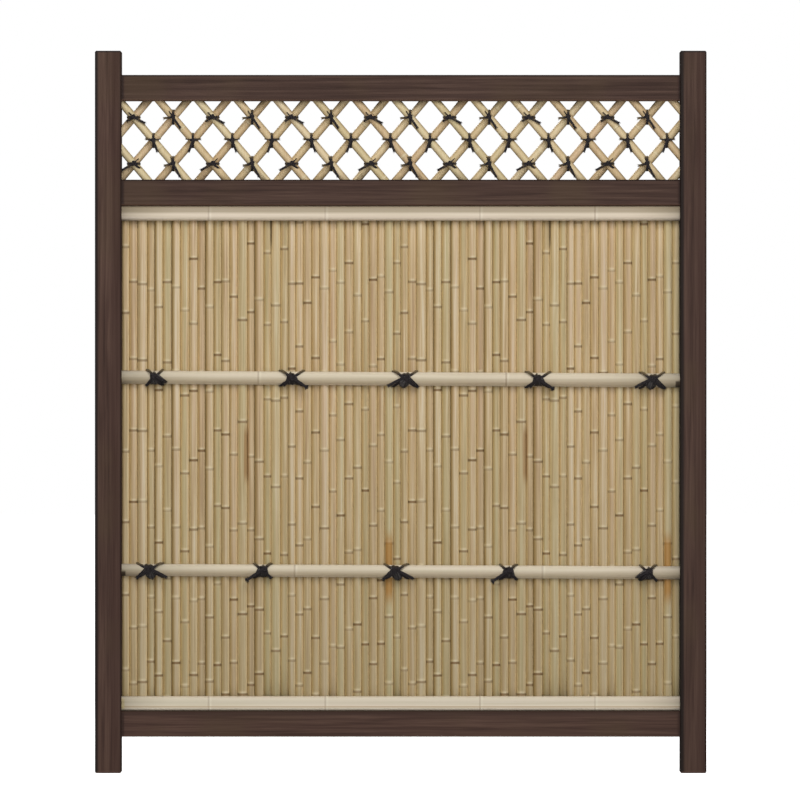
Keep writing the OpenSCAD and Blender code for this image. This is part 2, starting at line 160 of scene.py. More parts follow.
def linear(code: str) -> tuple[float, float, float, float]:
    """Turns an sRGB hex colour into linear RGBA.

    Args:
        code: Colour as "#rrggbb".

    Returns:
        Linear red, green, blue and alpha.
    """
    parts = [int(code[i:i + 2], 16) / 255 for i in (1, 3, 5)]
    flat = [c / 12.92 if c <= 0.04045 else ((c + 0.055) / 1.055) ** 2.4 for c in parts]
    return (flat[0], flat[1], flat[2], 1.0)


def lay_node(tree: bpy.types.NodeTree, kind: str, inputs: dict | None = None,
             **settings: object) -> bpy.types.Node:
    """Adds a node with its settings, input values and links.

    Args:
        tree: Node tree of the material.
        kind: Blender's name of the node type.
        inputs: Value or incoming socket for each input, by name or number.
        settings: Properties of the node.

    Returns:
        The new node.
    """
    made = tree.nodes.new(kind)
    for key, value in settings.items():
        setattr(made, key, value)
    for key, value in (inputs or {}).items():
        if isinstance(value, Socket):
            tree.links.new(value, made.inputs[key])
        else:
            made.inputs[key].default_value = value
    return made


def new_material(name: str) -> tuple[bpy.types.Material, bpy.types.NodeTree, bpy.types.Node]:
    """Makes a node material of that name, and gives it with its tree and its Principled shader."""
    material = bpy.data.materials.new(name)
    material.use_nodes = True
    tree = material.node_tree
    return material, tree, tree.nodes["Principled BSDF"]


@dataclass
class Bench:
    """A material in the making. Its methods lay one node each, and cover() adds to the colour so far."""

    name: str
    material: bpy.types.Material = field(init=False)
    tree: bpy.types.NodeTree = field(init=False)
    shader: bpy.types.Node = field(init=False)
    place: bpy.types.Node = field(init=False)
    colour: Socket = field(init=False)

    def __post_init__(self) -> None:
        """Makes the empty material and the coordinates that its nodes read."""
        self.material, self.tree, self.shader = new_material(self.name)
        self.place = lay_node(self.tree, "ShaderNodeTexCoord")

    def mapped(self, source: str, **inputs: tuple[float, ...]) -> Socket:
        """Moves or stretches a set of coordinates."""
        return lay_node(self.tree, "ShaderNodeMapping", {0: self.place.outputs[source]} | inputs).outputs[0]

    def drawn_out(self, grain: Grain, along: float, across: float) -> Socket:
        """The piece's own coordinates, scaled along its grain and across it."""
        scale = (along, across, across) if grain is Grain.ALONG_X else (across, across, along)
        return self.mapped("Object", Scale=scale)

    def apart(self, source: Socket) -> list[Socket]:
        """Splits coordinates into x, y and z."""
        return list(lay_node(self.tree, "ShaderNodeSeparateXYZ", {0: source}).outputs)

    def attribute(self, name: str) -> Socket:
        """A number that each point of the mesh carries."""
        return lay_node(self.tree, "ShaderNodeAttribute", attribute_name=name).outputs["Fac"]

    def noise(self, at: Socket, detail: float, rough: float = 0.5, warp: float = 0.0,
              scale: float = 1.0) -> Socket:
        """Lays a noise over coordinates."""
        inputs = {"Vector": at, "Scale": scale, "Detail": detail, "Roughness": rough, "Distortion": warp}
        return lay_node(self.tree, "ShaderNodeTexNoise", inputs).outputs["Fac"]

    def combine(self, operation: str, *values: Socket | float) -> Socket:
        """Works one number out of others."""
        return lay_node(self.tree, "ShaderNodeMath", dict(enumerate(values)), operation=operation).outputs[0]

    def span(self, value: Socket, low: float, high: float, start: float = 0.0, end: float = 1.0,
             kind: str = "LINEAR") -> Socket:
        """Turns the range from low to high into the one from start to end."""
        inputs = {0: value, 1: low, 2: high, 3: start, 4: end}
        return lay_node(self.tree, "ShaderNodeMapRange", inputs, interpolation_type=kind).outputs[0]

    def fade(self, value: Socket, low: float, high: float, start: float = 0.0, end: float = 1.0) -> Socket:
        """Does what span() does, with soft ends."""
        return self.span(value, low, high, start, end, "SMOOTHSTEP")

    def ramp(self, value: Socket, stops: tuple[tuple[float, str], ...], tone: float = 1.0) -> Socket:
        """Turns a number into a colour.

        Args:
            value: The number.
            stops: Position and hex colour of each stop.
            tone: What each colour is multiplied by.

        Returns:
            The colour.
        """
        made = lay_node(self.tree, "ShaderNodeValToRGB", {0: value})
        elements = made.color_ramp.elements
        while len(elements) < len(stops):
            elements.new(0.5)
        for element, (place, code) in zip(elements, stops):
            element.position = place
            element.color = [c * tone for c in linear(code)[:3]] + [1.0]
        return made.outputs[0]

    def cover(self, share: Socket, code: str) -> None:
        """Lays a colour over the one so far."""
        inputs = {0: share, 6: self.colour, 7: linear(code)}
        self.colour = lay_node(self.tree, "ShaderNodeMix", inputs, data_type="RGBA").outputs[2]

    def darken(self, shade: Socket) -> None:
        """Multiplies the colour so far by a shade."""
        inputs = {0: 1.0, 6: self.colour, 7: shade}
        made = lay_node(self.tree, "ShaderNodeMix", inputs, data_type="RGBA", blend_type="MULTIPLY")
        self.colour = made.outputs[2]

    def dress(self, rough: Socket, sheen: float, strength: float, depth: float,
              relief: Socket) -> bpy.types.Material:
        """Joins the colour and the surface to the shader.

        Args:
            rough: Roughness.
            sheen: Specular level.
            strength: Strength of the fine relief.
            depth: Its depth in metres.
            relief: Its height.

        Returns:
            The finished material.
        """
        inputs = {"Strength": strength, "Distance": depth, "Height": relief}
        bump = lay_node(self.tree, "ShaderNodeBump", inputs).outputs[0]
        for key, socket in (("Base Color", self.colour), ("Roughness", rough), ("Normal", bump)):
            self.tree.links.new(socket, self.shader.inputs[key])
        self.shader.inputs["IOR"].default_value = FIBRE_IOR
        self.shader.inputs["Specular IOR Level"].default_value = sheen
        return self.material


def deselect() -> None:
    """Deselects every object."""
    for obj in bpy.context.view_layer.objects:
        obj.select_set(False)


def edit(obj: bpy.types.Object) -> None:
    """Makes an object the only selected one and opens it in edit mode."""
    deselect()
    bpy.context.view_layer.objects.active = obj
    obj.select_set(True)
    bpy.ops.object.mode_set(mode="EDIT")


def leave_edit() -> None:
    """Goes back to object mode."""
    bpy.ops.object.mode_set(mode="OBJECT")


def mesh_object(name: str, points: np.ndarray, faces: list) -> bpy.types.Object:
    """Makes a smooth-shaded object out of points and faces.

    Args:
        name: Name of the object.
        points: Places of the points, in metres.
        faces: Point numbers of each face.

    Returns:
        The new object, at the origin.
    """
    mesh = bpy.data.meshes.new(name)
    mesh.from_pydata([tuple(p) for p in points], [], faces)
    mesh.polygons.foreach_set("use_smooth", [True] * len(mesh.polygons))
    obj = bpy.data.objects.new(name, mesh)
    bpy.context.scene.collection.objects.link(obj)
    return obj


def put_attribute(obj: bpy.types.Object, name: str, values: np.ndarray) -> None:
    """Writes one number for each point of a mesh under a name that a material reads."""
    layer = obj.data.attributes.new(name, "FLOAT", "POINT")
    layer.data.foreach_set("value", np.asarray(values, np.float32))


def count_points(parts: list[np.ndarray]) -> int:
    """Number of points laid so far."""
    return sum(len(p) for p in parts)


def unit(rows: np.ndarray) -> np.ndarray:
    """Brings each row to length one."""
    return rows / np.linalg.norm(rows, axis=-1, keepdims=True)


def run_along(line: np.ndarray) -> np.ndarray:
    """Distance of each point of a line from its start."""
    return np.concatenate([[0], np.cumsum(np.linalg.norm(np.diff(line, axis=0), axis=1))])


def unzip(path: list[tuple[np.ndarray, np.ndarray]]) -> tuple[np.ndarray, np.ndarray]:
    """Turns a list of points with normals into an array of each."""
    return np.array([p for p, _ in path]), np.array([n for _, n in path])


def finish_piece(obj: bpy.types.Object, material: bpy.types.Material, slot: str, *nodes: str) -> None:
    """Gives a piece its finish and ties it to the panel.

    Args:
        obj: The piece.
        material: Its finish.
        slot: Material slot of the record; not used.
        nodes: CAD nodes that the piece stands for.
    """
    obj.data.materials.clear()
    obj.data.materials.append(material)
    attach(obj, "root")
    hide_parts(*nodes)
    LOG.info("%s stands for %s", obj.name, ", ".join(nodes))


# Finishes

@dataclass(frozen=True)
class StainedTimber:
    """Planed softwood under a dark brown stain: long soft streaks, darker arrises, a dull sheen."""

    name: str
    grain: Grain
    centre: tuple[float, float, float]
    half: tuple[float, float, float]
    tone: float = 1.0
    dark: str = "#33211a"
    middle: str = "#473128"
    light: str = "#594135"
    moss: str = "#4c3a28"
    edge: str = "#1d1310"
    # Painted light on the arris underneath
    marks_and_painted_light: str = "#6a4f41"
    painted_light_reach: tuple[float, float] = (0.0014, 0.0030)
    painted_light_share: float = 0.7
    edge_width: float = 0.0040
    edge_round: float = 0.0008
    edge_share: float = 0.7
    # Painted shade down the left side
    painted_left_shade: str = "#170a05"
    left_width: float = 0.0066
    left_share: float = 0.95
    # Darker towards the right side; on a rail this end is painted shade beside the post
    right_edge: str = "#3c251d"
    right_width: float = 0.021
    right_share: float = 0.55
    top_width: float = 0.0032
    top_share: float = 0.6

    def build(self) -> bpy.types.Material:
        """Lays the nodes of the stained wood.

        Returns:
            The material.
        """
        bench = Bench(self.name)
        # Streaks about 6 mm wide and a few hundred long, with fibres of 1 mm in them
        streak = bench.noise(bench.drawn_out(self.grain, 4.0, 170.0), 4.0, 0.6, 0.4)
        fibre = bench.noise(bench.drawn_out(self.grain, 18.0, 1000.0), 2.0)
        both = bench.combine("MULTIPLY_ADD", fibre, 0.3, streak)
        stops = ((0.42, self.dark), (0.65, self.middle), (0.88, self.light))
        bench.colour = bench.ramp(both, stops, self.tone)
        cloud = bench.noise(bench.place.outputs["Object"], 2.0, scale=9.0)
        bench.cover(bench.fade(cloud, 0.45, 0.75, 0.0, 0.5), self.moss)
        x, y, z = bench.apart(bench.mapped("Object", Location=tuple(-c for c in self.centre)))
        half_x, _, half_z = self.half
        # Painted shade down the left side: on a post the arris that faces away from the light, on a rail its
        # end beside the post. The right side is darker than the middle too, and on a rail that end is painted
        # shade beside the other post
        right = bench.fade(x, half_x - self.right_width, half_x - self.right_width * 0.5, 0.0, self.right_share)
        bench.cover(right, self.right_edge)
        left = bench.fade(x, self.left_width * 0.5 - half_x, self.left_width - half_x, self.left_share, 0.0)
        bench.cover(left, self.painted_left_shade)
        # Darker along the top; the wide band on the bottom rail is a painted shadow under the batten
        top = bench.fade(z, half_z - self.top_width, half_z - self.top_width * 0.4, 0.0, self.top_share)
        bench.cover(top, self.edge)
        # Darker along the arrises: near two faces at once
        sizes = (bench.combine("ABSOLUTE", x), bench.combine("ABSOLUTE", y), z)
        near = [
            bench.fade(size, half - self.edge_width, half - self.edge_round)
            for size, half in zip(sizes, self.half)
        ]
        pairs = [bench.combine("MULTIPLY", near[a], near[b]) for a, b in ((0, 1), (1, 2), (0, 2))]
        arris = bench.combine("MAXIMUM", bench.combine("MAXIMUM", pairs[0], pairs[1]), pairs[2])
        bench.cover(bench.combine("MULTIPLY", arris, self.edge_share), self.edge)
        # Painted light: the arris underneath is made a lighter brown against the shade that falls there
        low, high = (reach - half_z for reach in self.painted_light_reach)
        bench.cover(bench.fade(z, low, high, self.painted_light_share, 0.0), self.marks_and_painted_light)
        return bench.dress(bench.span(both, 0.4, 1.0, 0.72, 0.52), 0.25, 0.35, 0.0006, both)


@dataclass(frozen=True)
class Stain:
    """A weathered patch: its middle and half size in x and z, its colour and how strong it is."""

    x: float
    z: float
    half_x: float
    half_z: float
    colour: str
    strength: float


@dataclass(frozen=True)
class BambooSkin:
    """Dry bamboo culm: a thin waxy skin with fine streaks, and at each joint a dark scar, which is also painted
    shadow, under a painted highlight on the ridge.

    Args:
        name: Name of the material.
        grain: Direction of the culm.
        shades: Its colours from dark to light.
        pink: Cast of the riper streaks.
        green: Cast of the younger ones.
        scar: Colour of the scar at a joint, which also paints the shadow under the ridge.
        scar_half: Half the height of the scar in millimetres.
        ridge: Colour of the painted highlight on the ridge above the scar.
        flank: Colour painted on the sides that face the gaps between neighbours: painted light against the
            shade there on the upright canes, painted shade on the lattice canes.
        painted_flank_shading_share: How much of it there is, from 0 to 1.
        streaks: How strong the streaks are.
        foot: Colour laid over the lower part, more of it towards the bottom.
        foot_share: How much of it there is at the foot.
        foot_reach: Heights between which it fades out.
        seam: Colour of the painted shade down a culm's left side, in the gap to its neighbour.
        cast: How strong the pink and green casts get.
        around: Painted shade and light, from the underside (0) to the top (1) of a level culm, and from the
            right (0) to the left (1) of an upright one.
        stains: Weathered patches.
    """

    name: str
    grain: Grain
    shades: tuple[str, ...]
    pink: str
    green: str
    scar: str
    scar_half: float
    ridge: str
    flank: str
    painted_flank_shading_share: float
    streaks: float = 1.0
    foot: str = "#8d8462"
    foot_share: float = 0.0
    foot_reach: tuple[float, float] = (0.14, 0.62)
    seam: str = "#967d4b"
    cast: float = 0.42
    around: tuple[tuple[float, str], ...] = ((0.0, "#ffffff"), (1.0, "#ffffff"))
    stains: tuple[Stain, ...] = ()

    def build(self) -> bpy.types.Material:
        """Lays the nodes of the bamboo skin.

        Returns:
            The material.
        """
        bench = Bench(self.name)
        x, _, z = bench.apart(bench.place.outputs["Object"])
        # Streaks 3 mm wide with finer ones in them, which run 100 mm and more
        streak = bench.noise(bench.drawn_out(self.grain, 7.0, 330.0), 3.0, 0.55)
        wide = bench.noise(bench.drawn_out(self.grain, 3.0, 160.0), 2.0)
        marks_and_painted_light = {key: bench.attribute(key) for key in CULM_VALUES}
        mixed = bench.combine("MULTIPLY_ADD", streak, self.streaks, marks_and_painted_light["tone"])
        shade = bench.combine("SUBTRACT", mixed, self.streaks / 2)
        last = len(self.shades) - 1
        bench.colour = bench.ramp(shade, tuple((i / last, code) for i, code in enumerate(self.shades)))
        # Pink and green casts wander along the culm
        drift = bench.combine("MULTIPLY_ADD", wide, 1.6, marks_and_painted_light["tint"])
        bench.cover(bench.span(drift, 1.3, 1.9, 0.0, self.cast), self.pink)
        bench.cover(bench.span(drift, 1.2, 0.6, 0.0, self.cast), self.green)
        bench.cover(bench.span(z, *self.foot_reach, self.foot_share, 0.0), self.foot)
        # Painted shading on the sides that face the neighbours
        bench.cover(bench.combine("MULTIPLY", marks_and_painted_light["flank"], self.painted_flank_shading_share), self.flank)
        # Painted shade down the left side
        bench.cover(marks_and_painted_light["seam"], self.seam)
        # Painted highlight on the ridge above a joint
        ridge_highlight_near = bench.fade(marks_and_painted_light["joint"], self.scar_half, self.scar_half + 5.0, 1.0, 0.0)
        ridge_highlight_side = bench.span(marks_and_painted_light["above"], 0.0, 1.0, 0.1, 0.6)
        bench.cover(bench.combine("MULTIPLY", ridge_highlight_near, ridge_highlight_side), self.ridge)
        # The scar, which also paints the shadow under the ridge, ends raggedly, where the streaks end it
        ragged = bench.combine("MULTIPLY_ADD", streak, 1.2, -0.6)
        reach = bench.combine("ADD", marks_and_painted_light["joint"], ragged)
        scar_near = bench.fade(reach, self.scar_half * 0.35, self.scar_half * 1.3, 1.0, 0.0)
        bench.cover(bench.combine("MULTIPLY", scar_near, marks_and_painted_light["scar"]), self.scar)
        for stain in self.stains:
            masks = []
            for place, middle, half in ((x, stain.x, stain.half_x), (z, stain.z, stain.half_z)):
                away = bench.combine("ABSOLUTE", bench.combine("SUBTRACT", place, middle))
                masks.append(bench.fade(away, half * 0.6, half * 1.2, 1.0, 0.0))
            mask = bench.combine("MULTIPLY", *masks)
            bench.cover(bench.combine("MULTIPLY", mask, stain.strength), stain.colour)
        # Painted shade and light across the culm
        bench.darken(bench.ramp(marks_and_painted_light["around"], self.around))
        return bench.dress(bench.span(streak, 0.2, 0.8, 0.42, 0.62), 0.35, 0.25, 0.0003, streak)


@dataclass(frozen=True)
class PalmRope:
    """Twisted palm fibre dyed black: coarse dull fibres with a few bleached brown ones."""

    name: str = "palm_fibre_rope_dyed_black"
    dark: str = "#161214"
    middle: str = "#292426"
    light: str = "#454041"
    grey: str = "#6d6968"
    brown: str = "#94805a"

    def build(self) -> bpy.types.Material:
        """Lays the nodes of the rope, whose UV map follows the twisted strands.

        Returns:
            The material.
        """
        bench = Bench(self.name)
        # Fibres 0.2 to 0.4 mm wide that follow the lay of the strands
        fibre = bench.noise(bench.mapped("UV", Scale=(34.0, 1.6, 1.0)), 3.0, 0.7)
        bench.colour = bench.ramp(fibre, ((0.36, self.dark), (0.52, self.middle), (0.72, self.light)))
        bench.cover(bench.attribute("bleach"), self.grey)
        bench.cover(bench.combine("MULTIPLY", bench.attribute("rubbed"), fibre), self.brown)
        return bench.dress(bench.span(fibre, 0.3, 0.7, 0.86, 0.74), 0.3, 0.6, 0.0004, fibre)


# Timber frame

@dataclass
class TimberFrame:
    """The posts and rails. Their solids have the right shape, so they only get their finish."""

    half_post: tuple[float, float, float] = (POST_W / 2, POST_D / 2, PANEL_H / 2)
    half_rail: tuple[float, float, float] = (INNER_W / 2, RAIL_D / 2, RAIL_H / 2)

    def dress(self) -> None:
        """Gives each bar its own piece of stained timber."""
        # Each bar's tone is painted light: it evens out how much lamp light the bars get. The posts' dark left
        # bands are painted shade
        for name, side, tone, dark in (("left_post", -1, 1.02, 0.0066), ("right_post", 1, 0.92, 0.0085)):
            self.stain(name, StainedTimber(
                f"softwood_stained_{name}", Grain.ALONG_Z, (side * POST_X, 0.0, PANEL_H / 2),
                self.half_post, tone, left_width=dark,
            ))
        # A rail's dark ends are painted shade beside the posts, and the wide dark band along the bottom rail's
        # top is a painted shadow under the batten
        for (name, low), tone, top in zip(RAIL_Z.items(), (1.10, 0.89, 0.86), (0.011, 0.0032, 0.0032)):
            edge = "#35221a" if name == "bottom_rail" else "#241510"
            self.stain(name, StainedTimber(
                f"softwood_stained_{name}", Grain.ALONG_X, (0.0, 0.0, low + RAIL_H / 2),
                self.half_rail, tone, painted_left_shade="#2f1c15", left_width=0.006, left_share=0.8,
                right_width=0.006, right_share=0.6, top_width=top, edge=edge,
            ))

    def stain(self, name: str, finish: StainedTimber) -> None:
        """Stains one bar.

        Args:
            name: CAD node of the bar.
            finish: Its finish.
        """
        bar = frame["nodes"][name]
        bar.data.materials.clear()
        bar.data.materials.append(finish.build())
        LOG.info("%s is stained", name)


# Bamboo

@dataclass
class CulmSection:
    """One joint of a culm with half an internode on each side, modelled once and copied along each cane.

    The rings are given as (height from the joint in mm, share of the ridge's height). The number of sides
    is a multiple of four, so that the flanks of neighbours meet.
    """

    sides: int = 20
    length: float = 0.12
    shoulder: float = 0.007
    rings: tuple[tuple[float, float], ...] = (
        (-60.0, 0.0), (-24.0, 0.0), (-7.0, 0.0), (-3.0, 0.15), (-1.2, 0.7), (-0.5, 0.95), (0.0, 0.75),
        (0.5, 1.0), (1.3, 0.85), (3.2, 0.25), (7.0, 0.0), (24.0, 0.0), (60.0, 0.0),
    )
    points: np.ndarray = field(default_factory=lambda: np.zeros((0, 3)))
    faces: list = field(default_factory=list)

    def model(self) -> "CulmSection":
        """Cuts a unit cylinder into rings and keeps the result as points and faces.

        Returns:
            This section.
        """
        deselect()
        bpy.ops.mesh.primitive_cylinder_add(
            vertices=self.sides, radius=1.0, depth=self.length, end_fill_type="NOTHING",
        )
        blank = bpy.context.active_object
        edit(blank)
        for height, _ in self.rings[1:-1]:
            bpy.ops.mesh.select_all(action="SELECT")
            bpy.ops.mesh.bisect(plane_co=(0, 0, height * MM), plane_no=(0, 0, 1))
        leave_edit()
        self.points = np.array([v.co for v in blank.data.vertices], float)
        self.faces = [tuple(p.vertices) for p in blank.data.polygons]
        bpy.data.objects.remove(blank, do_unlink=True)
        return self


@dataclass
class Culm:
    """One length of bamboo: where it stands, its radius at both ends, and its joints."""

    foot: float
    head: float
    joints: list[float]
    radius_foot: float
    radius_head: float
    ridge: float
    turned: bool
    tone: float
    tint: float
    seed: int
    place: Matrix
    scars: tuple[float, float] = (0.45, 1.0)
    # Strength of the painted shade down its left side
    seam: float = 0.0
    fullness: float = 2.0


@dataclass
class CulmStack:
    """Collects culms, each laid up out of copies of one section, into one mesh."""

    section: CulmSection
    tone_drift: float = 0.05
    joint_reach_mm: float = 20.0
    points: list = field(default_factory=list)
    faces: list = field(default_factory=list)
    values: dict = field(default_factory=lambda: {key: [] for key in CULM_VALUES})

    def lay(self, culm: Culm) -> None:
        """Adds one culm.

        Args:
            culm: The culm.
        """
        rng = random.Random(culm.seed)
        base = self.section.points
        x, y, z = base.T
        ring_mm, ring_swell = zip(*self.section.rings)
        place = np.array(culm.place)
        way = -1.0 if culm.turned else 1.0
        size = np.abs(z)
        side_up = (z * way) >= 0
        power = culm.fullness
        full = (np.abs(x) ** power + np.abs(y) ** power) ** (-1 / power)
        swell = culm.ridge * np.interp(z / MM, ring_mm, ring_swell)
        faces = [tuple(reversed(f)) if culm.turned else f for f in self.section.faces]
        spans = [culm.foot] + [(a + b) / 2 for a, b in zip(culm.joints, culm.joints[1:])] + [culm.head]
        shoulder = self.section.shoulder
        half = self.section.length / 2
        for number, joint in enumerate(culm.joints):
            room = np.where(side_up, spans[number + 1] - joint, joint - spans[number])
            near = np.minimum(size, shoulder)
            far = np.clip((size - shoulder) / (half - shoulder), 0, 1) * np.maximum(room - shoulder, 0.0)
            offset = np.minimum(near + far, room) * np.where(side_up, 1.0, -1.0)
            height = joint + offset
            share = (height - culm.foot) / (culm.head - culm.foot)
            radius = culm.radius_foot + (culm.radius_head - culm.radius_foot) * share
            out = (radius + swell) * full
            start = count_points(self.points)
            self.faces.extend(tuple(start + i for i in f) for f in faces)
            laid = np.stack([x * out, y * out, height], axis=1)
            self.points.append(laid @ place[:3, :3].T + place[:3, 3])
            said = {
                "tone": culm.tone + rng.uniform(-self.tone_drift, self.tone_drift),
                "tint": culm.tint,
                "joint": np.minimum(np.abs(height - joint) / MM, self.joint_reach_mm),
                "above": side_up,
                "scar": rng.uniform(*culm.scars),
                # flank, seam and around carry painted shading: on the sides, down the left side, and across the
                # culm
                "flank": np.clip((np.abs(x) - 0.5) / 0.5, 0, 1),
                "seam": culm.seam * np.clip((-x - 0.2) / 0.6, 0, 1),
                "around": 0.5 - 0.5 * x,
            }
            for key, value in said.items():
                self.values[key].append(np.full(len(laid), value, float))

    def build(self, name: str) -> bpy.types.Object:
        """Makes the mesh, joins the sections and closes the ends.

        Args:
            name: Name of the piece.

        Returns:
            The piece.
        """
        obj = mesh_object(name, np.concatenate(self.points), self.faces)
        for key, parts in self.values.items():
            put_attribute(obj, key, np.concatenate(parts))
        edit(obj)
        bpy.ops.mesh.select_all(action="SELECT")
        bpy.ops.mesh.remove_doubles(threshold=0.00001)
        bpy.ops.mesh.select_all(action="SELECT")
        bpy.ops.mesh.fill_holes(sides=0)
        bpy.ops.mesh.select_all(action="SELECT")
        bpy.ops.mesh.normals_make_consistent(inside=False)
        leave_edit()
        return obj


@dataclass
class CaneWall:
    """The 68 upright canes. A row of 34 is laid twice."""

    row: tuple[tuple[float, float, int, float], ...] = (
        (0.87, 0.513, 1, 0.98), (1.04, 0.555, 0, 0.90), (1.16, 0.554, 0, 0.89), (0.92, 0.515, 0, 0.99),
        (0.97, 0.484, 0, 1.00), (1.11, 0.543, 0, 0.94), (1.03, 0.517, 0, 1.00), (1.13, 0.470, 0, 1.03),
        (0.99, 0.496, 1, 0.96), (0.94, 0.515, 0, 1.00), (1.01, 0.478, 0, 1.02), (0.97, 0.555, 1, 1.06),
        (0.97, 0.547, 0, 0.93), (1.03, 0.507, 0, 0.98), (1.13, 0.572, 0, 1.27), (0.90, 0.503, 1, 1.02),
        (1.11, 0.493, 0, 1.01), (0.93, 0.464, 1, 1.06), (1.10, 0.443, 0, 1.16), (0.97, 0.464, 1, 1.08),
        (0.87, 0.523, 0, 1.00), (0.99, 0.460, 1, 0.92), (0.95, 0.491, 0, 1.00), (1.05, 0.551, 0, 0.94),
        (1.10, 0.515, 0, 1.00), (0.96, 0.434, 1, 1.04), (0.94, 0.536, 0, 0.96), (1.09, 0.460, 1, 1.02),
        (0.97, 0.481, 0, 1.08), (0.95, 0.436, 0, 1.09), (0.97, 0.524, 0, 1.02), (0.94, 0.546, 0, 0.96),
        (1.03, 0.492, 0, 1.06), (0.92, 0.451, 1, 1.04),
    )
    standing: tuple[float, float] = (0.091, 0.165)
    turned: tuple[float, float] = (0.134, 0.106)
    # Seams at which the cane gets strong painted shade down its left side, and how strong
    dark_seams: tuple[int, ...] = (4, 6, 10, 16)
    dark_seam: float = 0.85
    per_node: int = 4
    count: int = 68
    cane_seed: int = 411
    joint_seed: int = 900
    end_room: float = 0.006
    foot: float = WALL_LOW - WALL_SEAT + SEAT_GAP
    head: float = WALL_HIGH + WALL_SEAT - SEAT_GAP
    widths: list[float] = field(default_factory=list)
    starts: list[float] = field(default_factory=list)

    def __post_init__(self) -> None:
        """Lays the canes out along the wall."""
        margin = CANE_RIDGE + SEAT_GAP
        total = 2 * sum(entry[0] for entry in self.row)
        unit = (INNER_W - 2 * margin + (self.count - 1) * CANE_LAP) / total
        x = margin - INNER_W / 2
        for i in range(self.count):
            width = self.row[i % len(self.row)][0] * unit
            self.widths.append(width)
            self.starts.append(x)
            x += width - CANE_LAP

    @property
    def half_thickness(self) -> float:
        """Half the thickness of the wall, over its ridges."""
        return CANE_STAGGER + max(self.widths) / 2 + CANE_RIDGE

    def seam(self, number: int) -> float:
        """Place along the wall of the seam before cane number."""
        return self.starts[number] + CANE_LAP / 2

    def internode(self, z: float, turned: bool) -> float:
        """Usual distance between joints at a height."""
        pair = self.turned if turned else self.standing
        return pair[0] + (pair[1] - pair[0]) * (z - WALL_LOW) / (WALL_HIGH - WALL_LOW)

    def joints(self, i: int) -> list[float]:
        """Heights of the joints of one cane.

        Args:
            i: Number of the cane.

        Returns:
            Heights from the foot up.
        """
        _, share, upside_down, scale = self.row[i % len(self.row)]
        turned = upside_down == 1
        first = WALL_LOW + share * (WALL_HIGH - WALL_LOW)
        found = [first]
        z = first - scale * self.internode(first, turned)
        while z >= self.foot + self.end_room:
            found.insert(0, z)
            z -= scale * self.internode(z, turned)
        z = first + scale * self.internode(first, turned)
        while z <= self.head - self.end_room:
            found.append(z)
            z += scale * self.internode(z, turned)
        return found

    def skin(self) -> bpy.types.Material:
        """Finish of the upright canes."""
        # A broad stain, a narrow smear and a dark seam, and the same again where the row repeats
        stains = []
        for first in (0, len(self.row)):
            stains += [
                Stain(self.mid(first + 32), 0.340, 0.0068, 0.058, "#a8762c", 0.8),
                Stain(self.seam(first + 15) - 0.0012, 0.530, 0.0042, 0.048, "#96662f", 0.6),
                Stain(self.seam(first + 18), 0.930, 0.0020, 0.060, "#5e4526", 0.7),
            ]
        # The sides get painted light against the shade between the canes; the ramp is a painted highlight right
        # of each cane's middle and painted shade on its left
        return BambooSkin(
            "bamboo_culm_sun_dried", Grain.ALONG_Z,
            ("#a88d69", "#b89f79", "#c5ad88", "#ceba97", "#d6c6aa"),
            "#c4a68e", "#adab7f", "#785b38", 2.5, "#ded1b0", "#f8e6bb", 0.9,
            2.4, "#8f8664", 0.45, around=(
                (0.0, "#f6f1e6"), (0.3, "#ffffff"), (0.55, "#fdfaf4"), (0.8, "#ebe3d2"), (1.0, "#e6dcc6"),
            ), stains=tuple(stains),
        ).build()

    def mid(self, i: int) -> float:
        """Place along the wall of a cane's axis."""
        return self.starts[i] + self.widths[i] / 2

    def build(self, section: CulmSection) -> None:
        """Makes the canes, four to a piece.

        Args:
            section: The culm section that is copied along each cane.
        """
        skin = self.skin()
        for group in range(self.count // self.per_node):
            stack = CulmStack(section)
            for i in range(group * self.per_node, (group + 1) * self.per_node):
                spot = i % len(self.row)
                rng = random.Random(self.cane_seed + spot)
                side = -1 if i % 2 == 0 else 1
                # A little thicker than its solid, so that no light comes through beside it
                radius = self.widths[i] / 2 + CANE_SPREAD
                # The last value is the painted shade down the cane's left side, strongest at a few seams
                stack.lay(Culm(
                    self.foot, self.head, self.joints(i), radius, radius, CANE_RIDGE - CANE_SPREAD,
                    self.row[spot][2] == 1, rng.uniform(0.25, 0.8), rng.uniform(0.0, 1.0),
                    self.joint_seed + spot, Matrix.Translation((self.mid(i), side * CANE_STAGGER, 0)),
                    (0.3, 0.9), self.dark_seam if spot in self.dark_seams else rng.uniform(0.0, 0.45),
                ))
            name = f"fence_canes_{group + 1:02d}"
            finish_piece(stack.build(f"dried_{name}"), skin, "cane_bamboo", name)


@dataclass
class BattenKind:
    """One height of battens: middle, fall to the right, radius left and right, joints and looks."""

    name: str
    middle: float
    fall: float
    radius_left: float
    radius_right: float
    joints: tuple[float, ...]
    around: tuple[tuple[float, str], ...]
    stains: tuple[Stain, ...] = ()
    fullness: float = 2.0
    spread: float = 0.0

    def z(self, x: float) -> float:
        """Height of the batten's middle at x."""
        return self.middle - self.fall * x / INNER_W

    def radius(self, x: float) -> float:
        """Radius of the batten at x."""
        return self.radius_left + (self.radius_right - self.radius_left) * (x / INNER_W + 0.5)


